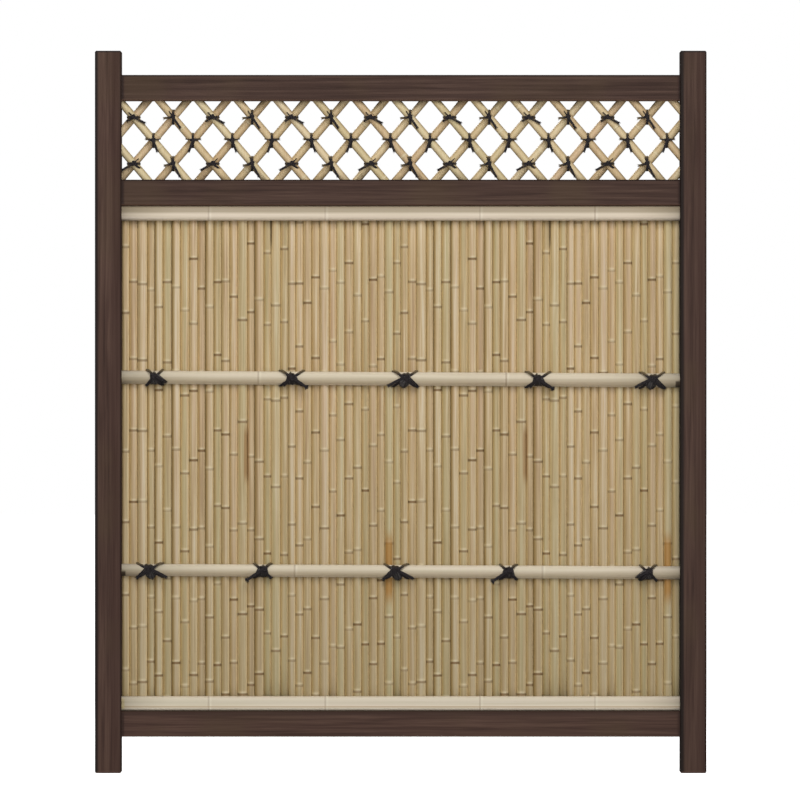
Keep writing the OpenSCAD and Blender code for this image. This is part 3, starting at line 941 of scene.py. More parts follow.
@dataclass
class SplitBattens:
    """The half-round battens in front of and behind the canes."""

    wall: CaneWall
    thickness: float = 0.0034
    ridge: float = 0.0002
    seat: float = 0.0077
    joint_seed: int = 70
    # Each ramp is painted shade and light across the batten: a painted shadow of the rail over the top batten's
    # upper half, painted light under the bottom batten, and the middle ones darker over their lower half
    kinds: tuple[BattenKind, ...] = (
        BattenKind("top", WALL_HIGH - 0.0118 - BATTEN_RIDGE - SEAT_GAP, 0.0, 0.0118, 0.0118,
                   (0.156, 0.365, 0.642, 0.848),
                   ((0.0, "#f8f5f7"), (0.44, "#f2eeee"), (0.60, "#bfb9b0"), (1.0, "#a9a298")),
                   (), 3.4, 0.0006),
        BattenKind("upper", 0.655, 0.0055, 0.0110, 0.0117, (0.245, 0.689), PAINTED_BATTEN_SHADE,
                   (Stain(0.4605, 0.6458, 0.0040, 0.0058, "#3a2c26", 0.85),)),
        BattenKind("lower", 0.335, 0.0050, 0.0100, 0.0110, (0.310, 0.754), PAINTED_BATTEN_SHADE,
                   (Stain(-0.4610, 0.3294, 0.0040, 0.0068, "#3a2c26", 0.85),)),
        BattenKind("bottom", WALL_LOW + 0.0115 + BATTEN_RIDGE + SEAT_GAP, 0.0, 0.0115, 0.0115,
                   (0.156, 0.365, 0.642, 0.848),
                   ((0.0, "#ffffff"), (0.25, "#ffffff"), (0.4, "#efeeec"), (0.55, "#e4e3e0"),
                    (1.0, "#eceae8")),
                   (Stain(0.0, 0.1100, 2.0, 0.0013, "#b89a70", 0.6),
                    Stain(-0.4620, 0.115, 0.0032, 0.010, "#e6d49c", 0.7)), 3.4, 0.0006),
    )

    @property
    def y(self) -> float:
        """Distance of the battens' flat backs from the middle plane."""
        return self.wall.half_thickness + SEAT_GAP

    def skin(self, kind: BattenKind) -> bpy.types.Material:
        """Finish of the battens at one height."""
        # Each height gets its own copy of the finish, with its own painted shading and stains
        return BambooSkin(
            f"bamboo_batten_scraped_pale_{kind.name}", Grain.ALONG_X,
            ("#d6c7ae", "#dfd2b9", "#e7dbc3", "#ede1cc", "#f2e9d7"),
            "#e8d3c3", "#d3ceae", "#b09b84", 1.8, "#f6eed8", "#b7a47c", 0.0,
            around=kind.around, stains=kind.stains,
        ).build()

    def build(self, section: CulmSection) -> None:
        """Makes the eight battens.

        Args:
            section: The culm section that is copied along each batten.
        """
        half = INNER_W / 2 + self.seat
        for number, kind in enumerate(self.kinds):
            skin = self.skin(kind)
            # The culm's axis is laid along X, with its upper side still up
            slope = Matrix.Rotation(math.atan(kind.fall / INNER_W), 4, "Y")
            level = Matrix.Rotation(math.radians(90), 4, "Y")
            for side, word in ((-1, "front"), (1, "rear")):
                stack = CulmStack(section)
                place = Matrix.Translation((0, side * self.y, kind.middle)) @ slope @ level
                stack.lay(Culm(
                    -half, half, [(s - 0.5) * INNER_W for s in kind.joints],
                    kind.radius_left + kind.spread, kind.radius_right + kind.spread, self.ridge, False,
                    0.45 + 0.05 * number, 0.5, self.joint_seed + number, place, (0.3, 0.7),
                    fullness=kind.fullness,
                ))
                name = f"{word}_batten_{kind.name}"
                obj = stack.build(f"split_{name}")
                self.split(obj, side)
                finish_piece(obj, skin, "batten_bamboo", name)

    def split(self, obj: bpy.types.Object, side: int) -> None:
        """Splits a culm along its middle and gives the half its wall.

        Args:
            obj: The whole culm.
            side: -1 for a batten in front, 1 for one behind.
        """
        edit(obj)
        bpy.ops.mesh.select_all(action="SELECT")
        bpy.ops.mesh.bisect(plane_co=(0, side * self.y, 0), plane_no=(0, side, 0), clear_inner=True)
        bpy.ops.mesh.select_all(action="DESELECT")
        leave_edit()
        for face in obj.data.polygons:
            face.select = abs(face.normal.x) > 0.9
        edit(obj)
        bpy.ops.mesh.delete(type="ONLY_FACE")
        leave_edit()
        wall = obj.modifiers.new("wall", "SOLIDIFY")
        wall.thickness = self.thickness
        wall.offset = -1.0
        bpy.ops.object.modifier_apply(modifier=wall.name)


@dataclass
class LatticeCanes:
    """The 32 thin canes of the lattice, in two layers that lean against each other."""

    count: int = 16
    per_node: int = 4
    cane_seed: int = 77
    rear_seed: int = 177
    joint_seed: int = 300
    ridge: float = 0.0001
    internode: float = 0.19
    angle: float = math.atan(LATTICE_ROW_H / (LATTICE_PITCH / 2))

    def skin(self) -> bpy.types.Material:
        """Finish of the lattice canes."""
        # The sides get painted shade towards each cane's edges
        return BambooSkin(
            "bamboo_lattice_cane_dried", Grain.ALONG_Z,
            ("#b59a70", "#c5ac82", "#d0b98f", "#d8c49c", "#e0cfab"),
            "#cba588", "#c3bb8c", "#9a7d56", 1.0, "#d8cca8", "#9b7e55", 0.55,
        ).build()

    def build(self, section: CulmSection) -> None:
        """Makes the lattice canes, four to a piece.

        Args:
            section: The culm section that is copied along each cane.
        """
        skin = self.skin()
        reach = (LATTICE_H + 2 * LATTICE_CANE_R + 0.016) / math.sin(self.angle)
        radius = LATTICE_CANE_R - self.ridge
        for lean, word, seed in ((-1, "front", self.cane_seed), (1, "rear", self.rear_seed)):
            tilt = Matrix.Rotation(lean * (math.pi / 2 - self.angle), 4, "Y")
            y = lean * (LATTICE_CANE_R + SEAT_GAP / 2)
            for group in range(self.count // self.per_node):
                stack = CulmStack(section)
                for k in range(group * self.per_node, (group + 1) * self.per_node):
                    rng = random.Random(seed + k)
                    x = LATTICE_FIRST_X + (k - 0.5) * LATTICE_PITCH
                    first = rng.uniform(-0.9, 0.1) * reach
                    joints = [first, first + self.internode + rng.uniform(-0.02, 0.02)]
                    stack.lay(Culm(
                        -reach, reach, joints, radius, radius, self.ridge, rng.random() < 0.5,
                        rng.uniform(0.25, 0.8), rng.uniform(0.1, 0.9) + 0.15 * lean, self.joint_seed + k,
                        Matrix.Translation((x, y, LATTICE_MIDDLE_Z)) @ tilt, (0.1, 0.5),
                    ))
                name = f"lattice_canes_{word}_{group + 1}"
                obj = stack.build(f"dried_{name}")
                self.trim(obj)
                finish_piece(obj, skin, "lattice_bamboo", name)

    def trim(self, obj: bpy.types.Object) -> None:
        """Cuts the canes off inside the grooves of the frame.

        Args:
            obj: Four canes.
        """
        low, high = LATTICE_LOW - LATTICE_SEAT, LATTICE_LOW + LATTICE_H + LATTICE_SEAT
        side = INNER_W / 2 + LATTICE_SEAT
        edit(obj)
        for co, no in (
            ((0, 0, low), (0, 0, -1)), ((0, 0, high), (0, 0, 1)),
            ((-side, 0, 0), (-1, 0, 0)), ((side, 0, 0), (1, 0, 0)),
        ):
            bpy.ops.mesh.select_all(action="SELECT")
            bpy.ops.mesh.bisect(plane_co=co, plane_no=no, use_fill=True, clear_outer=True)
        leave_edit()


# Rope

@dataclass
class RopeWork:
    """Lays twisted palm rope, frayed ends and loose fibres into one mesh.

    Args:
        seed: Start of its random numbers.
        sides: Points around a strand.
        lobes: Strands twisted into the rope.
        hollow: Share of the radius at the middle of a lobe's height.
        lobe: Half the lobes' height, as a share of the radius.
        uneven: How much the thickness varies along the rope.
        lay: Length of one turn of the twist.
        step: Distance between rings.
        tuft_r: Radius of a fibre at a cut end.
        fuzz_r: Radius of a fibre along the rope.
        tuft_count: Fibres at each cut end.
        fuzz_per_mm: Fibres on each millimetre of rope.
    """

    seed: int
    sides: int = 12
    lobes: int = 3
    hollow: float = 0.92
    lobe: float = 0.12
    uneven: float = 0.05
    lay: float = 0.0075
    step: float = 0.0011
    tuft_r: float = 0.0003
    fuzz_r: float = 0.00012
    tuft_count: int = 16
    fuzz_per_mm: float = 0.5
    points: list = field(default_factory=list)
    faces: list = field(default_factory=list)
    coords: list = field(default_factory=list)
    bleach: list = field(default_factory=list)
    rng: random.Random = field(init=False)

    def __post_init__(self) -> None:
        """Starts the fixed row of random numbers."""
        self.rng = random.Random(self.seed)

    @staticmethod
    def resample(line: np.ndarray, normals: np.ndarray, step: float) -> tuple[np.ndarray, np.ndarray]:
        """Rounds a line off and spaces its points evenly.

        Args:
            line: Points of the line.
            normals: Direction that the flat side faces at each point.
            step: Distance between the new points.

        Returns:
            New points and new normals.
        """
        padded = np.concatenate([2 * line[:1] - line[1:2], line, 2 * line[-1:] - line[-2:-1]])
        fine, fine_normals = [], []
        for i in range(1, len(padded) - 2):
            a, b, c, d = padded[i - 1:i + 3]
            for t in np.linspace(0, 1, 8, endpoint=False):
                fine.append(0.5 * (2 * b + (c - a) * t + (2 * a - 5 * b + 4 * c - d) * t * t
                                   + (3 * b - a - 3 * c + d) * t ** 3))
                fine_normals.append(normals[i - 1] * (1 - t) + normals[i] * t)
        fine.append(line[-1])
        fine_normals.append(normals[-1])
        far = run_along(np.array(fine))
        at = np.linspace(0, far[-1], max(4, int(far[-1] / step)))
        new, new_normals = (
            np.stack([np.interp(at, far, values) for values in np.array(rows).T], axis=1)
            for rows in (fine, fine_normals)
        )
        return new, unit(new_normals)

    @staticmethod
    def frames(line: np.ndarray, normals: np.ndarray) -> tuple[np.ndarray, np.ndarray, np.ndarray]:
        """Directions along a line, across it on its flat side, and out of it.

        Args:
            line: Points of the line.
            normals: Rough outward direction at each point.

        Returns:
            Tangents, cross directions and normals, all of length one.
        """
        tangents = unit(np.gradient(line, axis=0))
        out = unit(normals - (normals * tangents).sum(axis=1, keepdims=True) * tangents)
        return tangents, np.cross(out, tangents), out

    def strand(self, line: np.ndarray, normals: np.ndarray, radius: float, turn: float = 0.0,
               thin_end: float = 1.0) -> None:
        """Adds one twisted strand.

        Args:
            line: Evenly spaced points of its middle.
            normals: Outward direction at each point.
            radius: Radius of the strand.
            turn: Start of the twist, in radians.
            thin_end: Share of the radius left at the end of the line.
        """
        _, across, out = self.frames(line, normals)
        far = run_along(line)
        start = count_points(self.points)
        angles = np.arange(self.sides) * 2 * math.pi / self.sides
        wobble = self.rng.uniform(0, 6)
        for i, s in enumerate(far):
            twist = turn + 2 * math.pi * s / self.lay
            taper = 1 + (thin_end - 1) * max(0.0, (i / len(far) - 0.75) / 0.25)
            size = radius * taper * (1 + self.uneven * math.sin(s * 900 + wobble))
            reach = size * (self.hollow + self.lobe * np.cos(self.lobes * (angles - twist)))
            ring = line[i] + reach[:, None] * (
                np.cos(angles)[:, None] * across[i] + np.sin(angles)[:, None] * out[i]
            )
            self.points.append(ring)
            turns = (angles - twist) / (2 * math.pi)
            self.coords.append(np.stack([turns, np.full(self.sides, s / self.lay)], 1))
            self.bleach.append(np.zeros(self.sides))
        for i in range(len(far) - 1):
            for k in range(self.sides):
                a = start + i * self.sides + k
                b = start + i * self.sides + (k + 1) % self.sides
                self.faces.append((a, b, b + self.sides, a + self.sides))
        self.faces.append(tuple(start + k for k in reversed(range(self.sides))))
        last = start + (len(far) - 1) * self.sides
        self.faces.append(tuple(last + k for k in range(self.sides)))

    def doubled(self, line: np.ndarray, normals: np.ndarray, width: float, radius: float) -> None:
        """Adds two strands side by side along a line.

        Args:
            line: Points of the middle of the doubled rope.
            normals: Direction that its flat side faces at each point.
            width: Width over both strands.
            radius: Radius of one strand.
        """
        line, normals = self.resample(line, normals, self.step)
        tangents, across, out = self.frames(line, normals)
        gap = width / 2 - radius
        for side in (-1, 1):
            own = line + side * gap * across
            sway = np.array([self.rng.uniform(-0.00015, 0.00015) for _ in range(6)])
            bend = np.interp(np.linspace(0, 5, len(own)), np.arange(6), sway)
            self.strand(own + bend[:, None] * out, normals, radius, self.rng.uniform(0, 6))
            self.tuft(own[0], -tangents[0], out[0], radius, self.tuft_count)
            self.tuft(own[-1], tangents[-1], out[-1], radius, self.tuft_count)
        self.fuzz(line, tangents, across, out, width / 2)

    def fibre(self, path: np.ndarray, radius: float, bleach: float) -> None:
        """Adds one loose fibre: three sides and a pointed end.

        Args:
            path: Points from its root to its tip.
            radius: Its radius at the root.
            bleach: How grey it has become, from 0 to 1.
        """
        base = count_points(self.points)
        way = path[-1] - path[0]
        side = unit(np.cross(way, np.array([0.31, 0.17, 0.93])))
        other = np.cross(unit(way), side)
        angles = np.arange(3) * 2 * math.pi / 3
        round_it = np.cos(angles)[:, None] * side + np.sin(angles)[:, None] * other
        rings = len(path) - 1
        tone = self.rng.random()
        for k in range(rings):
            size = radius * (1 - 0.5 * k / rings)
            self.points.append(path[k] + size * round_it)
            self.coords.append(np.stack([np.full(3, tone), np.full(3, k / rings)], 1))
        self.points.append(path[-1][None])
        self.coords.append(np.array([[tone, 1.0]]))
        self.bleach.append(np.full(3 * rings + 1, bleach))
        tip = base + 3 * rings
        for k in range(3):
            n = (k + 1) % 3
            for ring in range(rings - 1):
                a, b = base + 3 * ring + k, base + 3 * ring + n
                self.faces.append((a, b, b + 3, a + 3))
            self.faces.append((tip - 3 + k, tip - 3 + n, tip))
        self.faces.append((base + 2, base + 1, base))

    def tuft(self, tip: np.ndarray, way: np.ndarray, out: np.ndarray, radius: float, count: int,
             spread: float = 0.45, length: float = 0.004) -> None:
        """Adds the loose fibres of a cut end.

        Args:
            tip: End of the strand.
            way: Direction of the strand there.
            out: Outward direction there.
            radius: Radius of the strand.
            count: Number of fibres.
            spread: How far they fan out, as a share of their length.
            length: Usual length of a fibre.
        """
        across = np.cross(way, out)
        for _ in range(count):
            turn = self.rng.uniform(0, 2 * math.pi)
            far = math.sqrt(self.rng.random())
            aside = math.cos(turn) * across + math.sin(turn) * out * 0.5
            start = tip - way * radius * 0.6 + aside * far * radius * 0.8
            reach = length * self.rng.uniform(0.45, 1.1)
            end = start + (way + spread * far * aside) * reach
            bend = np.array([0, 0, -self.rng.uniform(0.0, 0.2) * reach])
            path = np.array([start, (start + end) / 2, end + bend])
            self.fibre(path, self.tuft_r, self.rng.uniform(0.0, 0.35))

    def fuzz(self, line: np.ndarray, tangents: np.ndarray, across: np.ndarray, out: np.ndarray,
             half: float) -> None:
        """Adds short fibres that stand out along a rope.

        Args:
            line: Middle of the rope.
            tangents: Directions along it.
            across: Directions across it.
            out: Outward directions.
            half: Half the width of the rope.
        """
        for i in range(1, len(line) - 1):
            if self.rng.random() > self.fuzz_per_mm * self.step / MM:
                continue
            turn = self.rng.uniform(-0.6, math.pi + 0.6)
            level, up = math.cos(turn) * across[i], math.sin(turn) * out[i]
            start = line[i] + level * half * 0.9 + up * ROPE_D * 0.42
            way = (level + up) * 0.6 + tangents[i] * self.rng.uniform(-1.0, 1.0)
            end = start + way * self.rng.uniform(0.0012, 0.0030)
            self.fibre(np.array([start, (start + end) / 2, end]), self.fuzz_r, self.rng.uniform(0.0, 0.4))

    def overhand(self, middle: np.ndarray, size: float, depth: float, radius: float, turn: float) -> None:
        """Adds an overhand knot pulled into a lump, seen from the front.

        Args:
            middle: Middle of the knot.
            size: Radius of the rope's way around it.
            depth: How far that way swings to the front and back.
            radius: Radius of the rope.
            turn: How far the knot is turned about the line of sight.
        """
        t = np.linspace(0, 2 * math.pi, 61)
        x = (np.sin(t) + 2 * np.sin(2 * t)) / 3
        z = (np.cos(t) - 2 * np.cos(2 * t)) / 3
        y = -np.sin(3 * t)
        a, b = math.cos(turn), math.sin(turn)
        line = middle + np.stack([size * (a * x - b * z), depth * y, size * (b * x + a * z)], 1)
        normals = np.tile(np.array([0.05, -1.0, 0.05]), (len(t), 1))
        line, normals = self.resample(line, normals, self.step)
        self.strand(line, normals, radius, self.rng.uniform(0, 6))
        # A short upright piece fills the middle of the lump
        core = middle + np.linspace(-0.45, 0.45, 5)[:, None] * np.array([0.0, 0.0, size])
        core, normals = self.resample(core, np.tile(FRONT, (5, 1)), self.step)
        self.strand(core, normals, size * 0.5)

    def build(self, name: str, rubbed: np.ndarray) -> bpy.types.Object:
        """Makes the mesh with its UV map.

        Args:
            name: Name of the piece.
            rubbed: How brown each point is rubbed, from 0 to 1.

        Returns:
            The piece.
        """
        obj = mesh_object(name, np.concatenate(self.points), self.faces)
        put_attribute(obj, "bleach", np.concatenate(self.bleach))
        put_attribute(obj, "rubbed", rubbed)
        coords = np.concatenate(self.coords)
        layer = obj.data.uv_layers.new(name="rope_lay")
        corners = np.array([loop.vertex_index for loop in obj.data.loops])
        layer.data.foreach_set("uv", coords[corners].astype(np.float32).ravel())
        return obj


@dataclass
class FenceLashing:
    """One lashing on a batten: its batten, the seams that it goes through, its side and its tails."""

    node: str
    kind: BattenKind
    seams: tuple[int, int]
    side: int
    tie: Tie
    wall: CaneWall
    batten_y: float
    steps: int = 9
    strand_r: float = 0.00130
    near_lift: float = 0.0024
    far_lift: float = 0.0038
    rope_gap: float = 0.0003
    knot_lift: float = 0.0052
    knot_depth: float = 0.0014
    knot_r: float = 0.0018
    knot_turn: float = 0.4
    rubbed_from: float = 0.0065
    rubbed_over: float = 0.006

    def over(self, turn: float, x: float, radius: float, lift: float,
             side: int) -> tuple[np.ndarray, np.ndarray]:
        """Point on the way over a batten, and its normal.

        Args:
            turn: From -1 at the seam above the batten to 1 at the seam below it.
            x: Place along the batten.
            radius: Radius of the rope's way.
            lift: How much further out it is in front of the batten's middle.
            side: -1 for the batten in front, 1 for the one behind.

        Returns:
            The point, from the middle of the knot, and the normal.
        """
        a = math.pi / 2 * turn
        out = radius + lift * (1 - math.sin(a) ** 4)
        point = np.array([x, side * (self.batten_y + out * math.cos(a)), -out * math.sin(a)])
        return point, np.array([0, side * math.cos(a), -math.sin(a)])

    @staticmethod
    def turn(start: np.ndarray, heading: float, to: float, radius: float, y0: float, y1: float) -> list:
        """Turn of a strand in front of the knot.

        Args:
            start: Where it starts.
            heading: Its heading there, in degrees.
            to: Its heading at the end.
            radius: Radius of the turn.
            y0: Depth at the start.
            y1: Depth at the end.

        Returns:
            Points with their normals.
        """
        side = -1 if to < heading else 1
        a, b = math.radians(heading), math.radians(to)
        middle = (start[0] - side * radius * math.sin(a), start[2] + side * radius * math.cos(a))
        steps = max(1, math.ceil(abs(to - heading) / 24))
        made = []
        for k in range(1, steps + 1):
            h = a + (b - a) * k / steps
            made.append((np.array([
                middle[0] + side * radius * math.sin(h), y0 + (y1 - y0) * k / steps,
                middle[1] - side * radius * math.cos(h),
            ]), FRONT))
        return made

    def tail_end(self, start: np.ndarray, heading: float, length: float) -> list:
        """Two points along a tail that sags a little towards its end."""
        h = math.radians(heading)
        way = np.array([math.cos(h), 0, math.sin(h)]) * length
        return [(start + way * 0.5, FRONT), (start + way + np.array([0, 0.0006, -0.0008]), FRONT)]

    def route(self) -> tuple[np.ndarray, np.ndarray]:
        """The doubled rope's way around the front batten, the wall and the rear batten.

        Returns:
            Points and normals, in metres.
        """
        a, b = (self.wall.seam(s) for s in self.seams)
        middle_x = (a + b) / 2
        half_x = (b - a) / 2
        radius = self.kind.radius(middle_x) + self.strand_r + self.rope_gap
        lift = self.near_lift
        (heading_1, length_1), (heading_2, length_2) = self.tie.value.tails
        quarter = math.pi / 2
        far = -self.batten_y - radius
        arm = [self.over(u, half_x * math.sin(quarter * u), radius, self.far_lift, -1)
               for u in (-1, -0.85, -0.7, -0.55, -0.4, -1 / 6)]
        start = math.degrees(math.atan((radius + self.far_lift) / half_x))
        near = far - self.far_lift
        bend = self.turn(arm[-1][0], -start, heading_1, 0.55 * FENCE_ROPE_W, near, near)
        first = arm + bend + self.tail_end(bend[-1][0], heading_1, length_1 * ROPE_D)
        spread = [i / self.steps for i in range(-self.steps, self.steps + 1)]
        left = [self.over(u, -half_x, radius, 0, 1) for u in spread]
        diagonal = [self.over(u, -half_x * math.sin(quarter * u), radius, 0, -1) for u in reversed(spread)]
        right = [self.over(u, half_x, radius, 0, 1) for u in spread]
        arm = [self.over(u, half_x * math.sin(quarter * u), radius, lift, -1)
               for u in (1, 0.85, 0.7, 0.55, 0.4, 0.2, -1 / 12)]
        start = 180 - math.degrees(math.atan((radius + lift) / half_x))
        near = far - lift
        loop = 0.65 * FENCE_ROPE_W
        bend = self.turn(arm[-1][0], start, max(heading_2, 0), loop, near, near)
        if heading_2 < 0:
            bend += self.turn(bend[-1][0], 0, heading_2, loop, near, near - lift)
        last = arm + bend + self.tail_end(bend[-1][0], heading_2, length_2 * ROPE_D)
        line, normals = unzip(first[::-1] + left + diagonal + right + last)
        line[:, 0] *= self.side
        line += np.array([middle_x, 0, self.kind.z(middle_x)])
        return line, normals

    def on_batten(self, x: float, z: float, lift: float) -> np.ndarray:
        """Point in front of the batten, with x and z taken from the middle of the knot.

        Args:
            x: To the long side.
            z: Up.
            lift: Distance from the batten's surface.

        Returns:
            The point in the panel's frame.
        """
        middle_x = (self.wall.seam(self.seams[0]) + self.wall.seam(self.seams[1])) / 2
        radius = self.kind.radius(middle_x)
        depth = math.sqrt(radius ** 2 - min(abs(z), 0.9 * radius) ** 2)
        return np.array([middle_x + self.side * x, -self.batten_y - depth - lift, self.kind.z(middle_x) + z])

    def apron(self, work: RopeWork) -> None:
        """Adds the loose fibres that hang from the knot down to its hem.

        Args:
            work: The rope work that they join.
        """
        shape = self.tie.value
        hem = np.array(shape.hem) * MM
        far = run_along(hem)
        lump_x, lump_z, lump_r = (v * MM for v in shape.lump)
        for number in range(shape.fibres):
            share = (number + work.rng.uniform(-0.4, 0.4)) / (shape.fibres - 1)
            share = min(1.0, max(0.0, share))
            end_x = np.interp(share * far[-1], far, hem[:, 0])
            end_z = np.interp(share * far[-1], far, hem[:, 1]) + work.rng.uniform(-0.0005, 0.0016)
            start_x = lump_x + (share - 0.5) * 2.4 * lump_r
            start_z = lump_z + work.rng.uniform(-0.5, 0.9) * lump_r
            height = work.rng.uniform(0.0012, 0.0052)
            path = []
            for t in (0.0, 0.3, 0.6, 0.85, 1.0):
                x = start_x + (end_x - start_x) * t
                z = start_z + (end_z - start_z) * t ** 1.15
                path.append(self.on_batten(x, z, height * (1 - 0.65 * t) + 0.0008 * t))
            bleached = work.rng.random() < shape.grey
            bleach = work.rng.uniform(0.5, 1.0) if bleached else work.rng.uniform(0.0, 0.2)
            work.fibre(np.array(path), work.rng.uniform(0.0004, 0.0007), bleach)

    def leg(self, work: RopeWork, x: float, z: float, half: float) -> None:
        """Adds a further end from the knot to a point at the batten's lower edge.

        Args:
            work: The rope work that it joins.
            x: Place of its tip along the batten.
            z: Height of its tip.
            half: Half its width.
        """
        lump_x, lump_z, _ = (v * MM for v in self.tie.value.lump)
        path = np.array([self.on_batten(
            lump_x + (x - lump_x) * t, lump_z + (z - lump_z) * t, 0.0046 - 0.0028 * t,
        ) for t in (0.0, 0.25, 0.5, 0.75, 1.0)])
        work.doubled(path, np.tile(FRONT, (5, 1)), 2 * half, self.strand_r)

    def build(self, material: bpy.types.Material, seed: int) -> None:
        """Makes the lashing.

        Args:
            material: The rope's finish.
            seed: Seed of its loose fibres.
        """
        shape = self.tie.value
        work = RopeWork(seed)
        line, normals = self.route()
        work.doubled(line, normals, FENCE_ROPE_W, self.strand_r)
        lump_x, lump_z, lump_r = (v * MM for v in shape.lump)
        middle = self.on_batten(lump_x, lump_z, self.knot_lift)
        work.overhand(middle, lump_r, self.knot_depth, self.knot_r, self.knot_turn * self.side)
        for x, z, half in shape.legs:
            self.leg(work, x * MM, z * MM, half * MM)
        self.apron(work)
        way = unit(line[0] - line[1])
        count, length, spread = shape.tuft
        work.tuft(line[0] - way * 0.0015, way, FRONT, ROPE_D, count, spread, length * MM)
        points = np.concatenate(work.points)
        height = points[:, 2] - middle[2] + lump_z
        rubbed = np.clip((height - self.rubbed_from) / self.rubbed_over, 0, 1) * (points[:, 1] < 0)
        finish_piece(work.build(f"palm_rope_{self.node}", rubbed), material, "palm_rope", self.node)


@dataclass(frozen=True)
class CrossTie:
    """One way of tying a crossing.

    Args:
        short: Tip (x, z) of the short end, in millimetres from the crossing.
        long: Tip of the long end.
        stub: Tip of the stub.
        across: Whether the loop lies across the crossing and not upright.
    """

    short: tuple[float, float]
    long: tuple[float, float]
    stub: tuple[float, float]
    across: bool


@dataclass
class LatticeLashings:
    """The 42 lashings at the crossings: two ways of tying, by turns, in each of three rows."""

    count: int = 14
    radius: float = 0.00130
    width: float = 0.0040
    front: float = 0.0150
    upright: float = 0.0115
    level: float = 0.0102
    loop_steps: int = 16
    first_seed: int = 50
    knot_size: float = 0.0038
    knot_depth: float = 0.0010
    knot_r: float = 0.0015
    rubbed_from: float = 0.007
    rubbed_over: float = 0.006
    rows: tuple[tuple[str, CrossTie, CrossTie], ...] = (
        ("top", CrossTie((-10.3, -6.2), (18.0, -9.6), (-8.3, 8.0), True),
         CrossTie((-14.6, -1.8), (11.2, -17.0), (-7.0, 10.4), False)),
        ("middle", CrossTie((-11.8, 2.2), (6.2, -18.0), (12.4, 2.4), False),
         CrossTie((11.8, 2.2), (-6.2, -18.0), (-12.4, 2.4), False)),
        ("bottom", CrossTie((10.6, -8.2), (-18.6, -10.6), (8.3, 8.6), True),
         CrossTie((-13.6, -3.4), (10.8, -21.0), (-4.0, 11.6), False)),
    )

    def tie(self, way: CrossTie, seed: int) -> RopeWork:
        """Ties one crossing at the origin.

        Args:
            way: How it is tied.
            seed: Seed of its loose fibres.

        Returns:
            The rope work.
        """
        work = RopeWork(seed, sides=8, step=0.0016)
        short, long, stub = (np.array([x * MM, 0.0, z * MM]) for x, z in (way.short, way.long, way.stub))
        across = way.across
        over = self.level if across else self.upright
        path = [(short + np.array([0.0, 0.0035 - self.front, 0.0]), FRONT),
                (short * 0.6 + np.array([0.0, 0.0008 - self.front, 0.0]), FRONT)]
        for k in range(self.loop_steps):
            a = 2 * math.pi * k / self.loop_steps
            y, z = -math.cos(a), -math.sin(a)
            stretch = 1 / (y ** 4 + z ** 4) ** 0.25
            far = z * stretch * over
            spot = [far, y * stretch * self.front, 0] if across else [0, y * stretch * self.front, far]
            path.append((np.array(spot), np.array([z, y, 0] if across else [0, y, z])))
        top = np.array([0.0, -self.front - 0.0018, 0.0])
        inward = -FRONT
        path += [(top, FRONT), (top + long * 0.5, FRONT), (top + long + inward * 0.0012, FRONT)]
        work.doubled(*unzip(path), self.width, self.radius)
        end = np.array([
            top + inward * 0.0006, top + stub * 0.5 + inward * 0.0012, top + stub + inward * 0.0030,
        ])
        end, normals = work.resample(end, np.tile(FRONT, (3, 1)), work.step)
        work.strand(end, normals, self.radius * 0.9, 1.0, 0.7)
        turn = 1.0 if across else 0.3
        work.overhand(top + inward * 0.0002, self.knot_size, self.knot_depth, self.knot_r, turn)
        return work

    def build(self, material: bpy.types.Material) -> None:
        """Makes the three rows.

        Args:
            material: The rope's finish.
        """
        for row, (word, *ways) in enumerate(self.rows):
            ties = [self.tie(way, self.first_seed + 2 * row + k) for k, way in enumerate(ways)]
            whole = RopeWork(0)
            rubbed = []
            for k in range(self.count):
                tie = ties[k % 2]
                start = count_points(whole.points)
                shift = np.array([
                    LATTICE_FIRST_X + (k + (0.5 if row == 1 else 0)) * LATTICE_PITCH, 0,
                    LATTICE_MIDDLE_Z + (1 - row) * LATTICE_ROW_H,
                ])
                points = np.concatenate(tie.points)
                whole.points.append(points + shift)
                whole.coords.extend(tie.coords)
                whole.bleach.extend(tie.bleach)
                whole.faces.extend(tuple(start + i for i in f) for f in tie.faces)
                far = np.hypot(points[:, 0], points[:, 2])
                rubbed.append(
                    np.clip((far - self.rubbed_from) / self.rubbed_over, 0, 1) * (points[:, 2] > -0.005)
                )
            name = f"lattice_lashings_{word}"
            piece = whole.build(f"palm_rope_{name}", np.concatenate(rubbed))
            finish_piece(piece, material, "palm_rope", name)


# Studio

@dataclass(frozen=True)
class Lamp:
    """A square soft light: its name, where it hangs, the width of its face and its power in watts."""

    name: str
    place: tuple[float, float, float]
    size: float
    power: float


